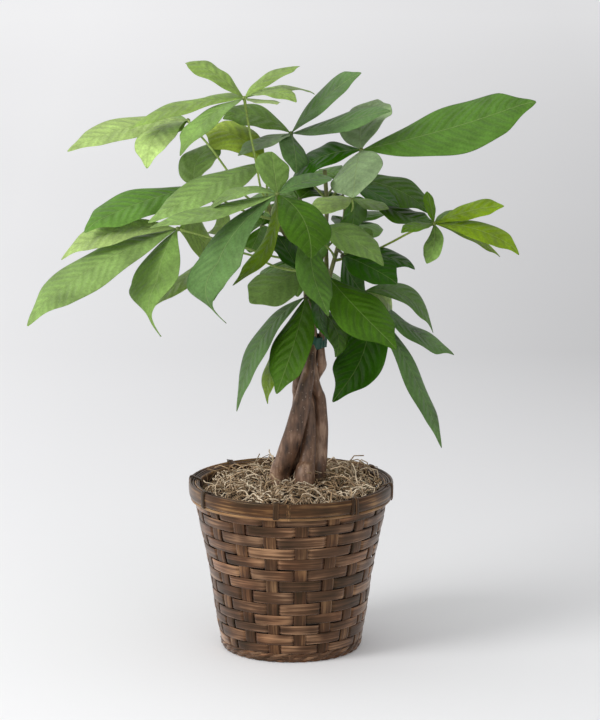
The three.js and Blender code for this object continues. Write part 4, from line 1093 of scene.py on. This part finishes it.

# The skin's colour: clouded and finely speckled, with a painted highlight on the swells between the veins and
# painted shade along the sunk veins
clouds = add_node(tree, "TexNoise", {"Vector": blade, "Scale": 1 / (26.316 * mm), "Detail": 3.0})
clouded = add_node(
    tree, "MapRange", {"Value": clouds, "From Min": 0.3, "From Max": 0.7, "To Min": 0.72, "To Max": 1.2}
)
own = add_node(tree, "TexWhiteNoise", {"W": leaflet_number}, noise_dimensions="1D")
quilting = add_node(tree, "MapRange", {"Value": own, "To Min": 0.5, "To Max": 1.75})
painted_quilt_depth = add_node(tree, "Math", [quilting, -0.05], operation="MULTIPLY")
painted_quilt_light = add_node(tree, "Math", [wave, painted_quilt_depth, 0.99], operation="MULTIPLY_ADD")
speckle = add_node(tree, "TexNoise", {"Vector": blade, "Scale": 1 / (2.174 * mm), "Detail": 2.0})
speckled = add_node(
    tree, "MapRange", {"Value": speckle, "From Min": 0.3, "From Max": 0.7, "To Min": 0.86, "To Max": 1.14}
)
value = add_node(tree, "Math", [clouded, painted_quilt_light], operation="MULTIPLY")
value = add_node(tree, "Math", [value, speckled], operation="MULTIPLY")
body = add_node(tree, "VectorMath", [tone, value], operation="MULTIPLY")
pale_green = add_node(tree, "Mix", {0: 0.6, 6: tone, 7: tint("#C3D98C")}, data_type="RGBA").outputs[2]
veined = add_node(tree, "Mix", {0: pale, 6: body, 7: pale_green}, data_type="RGBA").outputs[2]
backed = add_node(tree, "Mix", {0: under, 6: veined, 7: tint("#8FB35A")}, data_type="RGBA").outputs[2]

# The skin's relief: swollen between the veins, sunk along the midrib, and finely pebbled
cells = add_node(tree, "TexVoronoi", {"Vector": blade, "Scale": 1 / (1.923 * mm)})
swell = add_node(tree, "Math", [wave, edge_fade], operation="MULTIPLY")
swell = add_node(tree, "Math", [swell, quilting], operation="MULTIPLY")
relief = add_node(tree, "Math", [swell, -0.5], operation="MULTIPLY")
relief = add_node(tree, "Math", [midrib, -0.8, relief], operation="MULTIPLY_ADD")
relief = add_node(tree, "Math", [cells, 0.3, relief], operation="MULTIPLY_ADD")
skin_bump = add_node(tree, "Bump", {"Height": relief, "Strength": 0.65, "Distance": 0.9 * mm})
rough = add_node(
    tree, "MapRange", {"Value": clouds, "From Min": 0.3, "From Max": 0.7, "To Min": 0.27, "To Max": 0.44}
)
front = add_node(
    tree,
    "BsdfPrincipled",
    {
        "Base Color": backed,
        "Roughness": rough,
        "Normal": skin_bump,
        "Specular IOR Level": 0.33,
        "Specular Tint": tint("#DAEFAC"),
    },
)
lit_through = add_node(tree, "VectorMath", [backed, (1.25, 1.2, 0.5)], operation="MULTIPLY")
through = add_node(tree, "BsdfTranslucent", {"Color": lit_through, "Normal": skin_bump})
both = add_node(tree, "MixShader", [0.3, front, through])
add_node(tree, "OutputMaterial", [both])

# Stalk: smooth and fleshy, light green on young leaves and brown-green on old ones, darker at the knuckle
leaf_stalk, tree = new_material("fleshy_leaf_stalk")
tone = add_node(tree, "Attribute", attribute_name="tone")
place = add_node(tree, "TexCoord")
flecks = add_node(tree, "TexNoise", {"Vector": place.outputs["Object"], "Scale": 1 / (2 * mm), "Detail": 2.0})
value = add_node(
    tree, "MapRange", {"Value": flecks, "From Min": 0.3, "From Max": 0.7, "To Min": 0.75, "To Max": 1.2}
)
toned = add_node(tree, "VectorMath", [tone, value], operation="MULTIPLY")
surface = add_node(tree, "BsdfPrincipled", {"Base Color": toned, "Roughness": 0.5})
add_node(tree, "OutputMaterial", [surface])

# The blade's mesh: its steps along and across, half its thickness in millimetres, the powers that shape its
# outline at its base and its tip, and the jump in the skin's pattern from leaflet to leaflet
BLADE_ALONG = 44
BLADE_ACROSS = 12
BLADE_HALF_THICK = 0.22
BASE_POWER = 1.08
TIP_POWER = 0.76
WIDEST = BASE_POWER / (BASE_POWER + TIP_POWER)
PEAK = WIDEST**BASE_POWER * (1 - WIDEST) ** TIP_POWER
LEAFLET_JUMP = 0.00137
# Where along a blade its tip begins to hook down, and where a drawn-out blade begins to sweep to the side
HOOK_FROM = 0.84
SWEEP_FROM = 0.55


def add_leaflet(leaf, hub, leaflet, draw):
    """Adds one closed thin blade to a leaf: rings of points over its upper skin and back under its lower one.
    Each point keeps its place on the blade, its shares of the half width and the length, and its tone."""
    middle, tip, width, roll, tone, *tail = leaflet
    middle, tip = Vector(middle), Vector(tip)
    pull = middle * 2 - tip * 0.5
    length = middle.length + (tip - middle).length
    flat_side = tip.cross(UP).normalized()
    turn = math.radians(roll)
    # The blade's colour comes from its tone, which is partly painted light and shade
    colour = np.array(tint(LEAF_TONES_AND_PAINTED_LIGHT[tone][0])[:3]) * draw.uniform(0.9, 1.1)
    waves, phase, lift = draw.uniform(1.6, 2.8), draw.uniform(0, 6.28), draw.uniform(0.10, 0.2)
    edge_wave, lopsided = draw.uniform(0.03, 0.075), draw.uniform(-0.06, 0.06)
    hook = Vector((draw.uniform(-0.3, 0.3), 0, -1)) * draw.uniform(0.0, 0.04) * length
    sweep = Vector((0, 0, 0))
    drawn_out, pinched = 0.22, min(0.4, length / 240)
    if tail:
        drawn_out, pinched = tail[0], 0.9
        hook = Vector((0.035, -0.02, -0.01)) * length
        sweep = Vector((-0.055, 0, 0)) * length
    start = len(leaf["verts"])
    ring = 2 * BLADE_ACROSS
    for t in np.linspace(0.012, 0.995, BLADE_ALONG + 1):
        centre = hub + pull * (2 * t * (1 - t)) + tip * (t * t)
        centre += hook * max(0.0, (t - HOOK_FROM) / (1 - HOOK_FROM)) ** 2
        centre += sweep * math.sin(math.pi * max(0.0, (t - SWEEP_FROM) / (1 - SWEEP_FROM)))
        ahead = (pull * (2 * (1 - t)) + (tip - pull) * (2 * t)).normalized()
        level = (flat_side - ahead * flat_side.dot(ahead)).normalized()
        above = level.cross(ahead)
        side = level * math.cos(turn) + above * math.sin(turn)
        upward = above * math.cos(turn) - level * math.sin(turn)
        narrow = np.clip((t - 1 + drawn_out) / (0.7 * drawn_out), 0, 1)
        outline = t**BASE_POWER * (1 - t) ** TIP_POWER / PEAK
        half = max(0.75, outline * width / 2 * (1 - pinched * narrow * narrow * (3 - 2 * narrow)))
        for k in range(ring):
            u = -math.cos(math.pi * k / BLADE_ACROSS)
            a = abs(u)
            fold = half * (lift * a - 0.17 * a * a)
            crest = 2 * math.pi * waves * t + phase + (1.3 if u > 0 else 0)
            ripple = half * edge_wave * a * a * math.sin(crest)
            thick = BLADE_HALF_THICK * (1 - a**4) + (0.5 * max(0.0, 1 - t * 1.1) if a < 0.2 else 0.0)
            widen = u * half * (1 + (lopsided if u > 0 else -lopsided))
            skin = 0.0 if k in (0, BLADE_ACROSS) else (-1.0 if k > BLADE_ACROSS else 1.0)
            leaf["verts"].append(centre + side * widen + upward * (fold + ripple + skin * thick))
            leaf["blade"].append((widen * mm, t * length * mm, start * LEAFLET_JUMP))
            leaf["share"].append((a, t, skin))
            leaf["tone"].append(colour)
    end = start + BLADE_ALONG * ring
    for first in range(start, end, ring):
        for k in range(ring):
            a, b = first + k, first + (k + 1) % ring
            leaf["faces"].append((a, b, b + ring, a + ring))
    leaf["faces"].append(tuple(start + k for k in reversed(range(ring))))
    leaf["faces"].append(tuple(end + k for k in range(ring)))


def stem_place(name, height):
    """The middle of a stem at a height."""
    line = stem_line(name)
    return tuple(np.interp(height, line[:, 2], line[:, i]) for i in range(3))


# In millimetres: a stalk's radius and how much it swells at its ends, and heights and radii of the knuckle
# where a leaf's blades meet
STALK_RADIUS = 1.0
STALK_SWELL = 0.55
KNUCKLE = ((-2.3, 0.5), (-1.7, 1.5), (-0.6, 2.25), (0.6, 2.25), (1.6, 1.5), (2.2, 0.5))
for number, (node, on, joins, hub, stalk, leaflets) in enumerate(LEAVES):
    draw = np.random.default_rng(100 + number)
    leaf = {"verts": [], "faces": [], "blade": [], "share": [], "tone": []}
    for leaflet in leaflets:
        add_leaflet(leaf, Vector(hub), leaflet, draw)
    blade_faces = len(leaf["faces"])
    line = smooth_line([hub, *stalk, stem_place(on, joins)], 8)
    bar = []
    for i, point in enumerate(line):
        near_end = 1 - min(1, i / 5) + max(0, (i - len(line) + 8) / 8)
        bar.append((*point, STALK_RADIUS + STALK_SWELL * near_end))
    knuckle = [(*hub[:2], hub[2] + height, radius) for height, radius in KNUCKLE]
    stalk_tone = np.array(tint(LEAF_TONES_AND_PAINTED_LIGHT[leaflets[0][4]][1])[:3])
    for rows, sides, tone in ((bar, 10, stalk_tone), (knuckle, 12, stalk_tone * 0.55)):
        verts, faces = tube(rows, sides)
        start = len(leaf["verts"])
        leaf["verts"] += verts
        leaf["faces"] += [tuple(start + i for i in face) for face in faces]
        leaf["blade"] += [(1.0, 0.0, 0.0)] * len(verts)
        leaf["share"] += [(0.0, 0.0, 1.0)] * len(verts)
        leaf["tone"] += [tone] * len(verts)
    piece = new_piece(node + "_blades", [v * mm for v in leaf["verts"]], leaf["faces"], leaf_skin)
    piece.data.materials.append(leaf_stalk)
    stalk_faces = len(leaf["faces"]) - blade_faces
    piece.data.polygons.foreach_set("material_index", [0] * blade_faces + [1] * stalk_faces)
    for label in ("blade", "share"):
        column = piece.data.attributes.new(label, "FLOAT_VECTOR", "POINT")
        column.data.foreach_set("vector", np.array(leaf[label], dtype=np.float32).ravel())
    painted = np.hstack([np.array(leaf["tone"]), np.ones((len(leaf["tone"]), 1))]).astype(np.float32)
    piece.data.attributes.new("tone", "FLOAT_COLOR", "POINT").data.foreach_set("color", painted.ravel())
    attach(piece, "root")
    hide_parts(node)
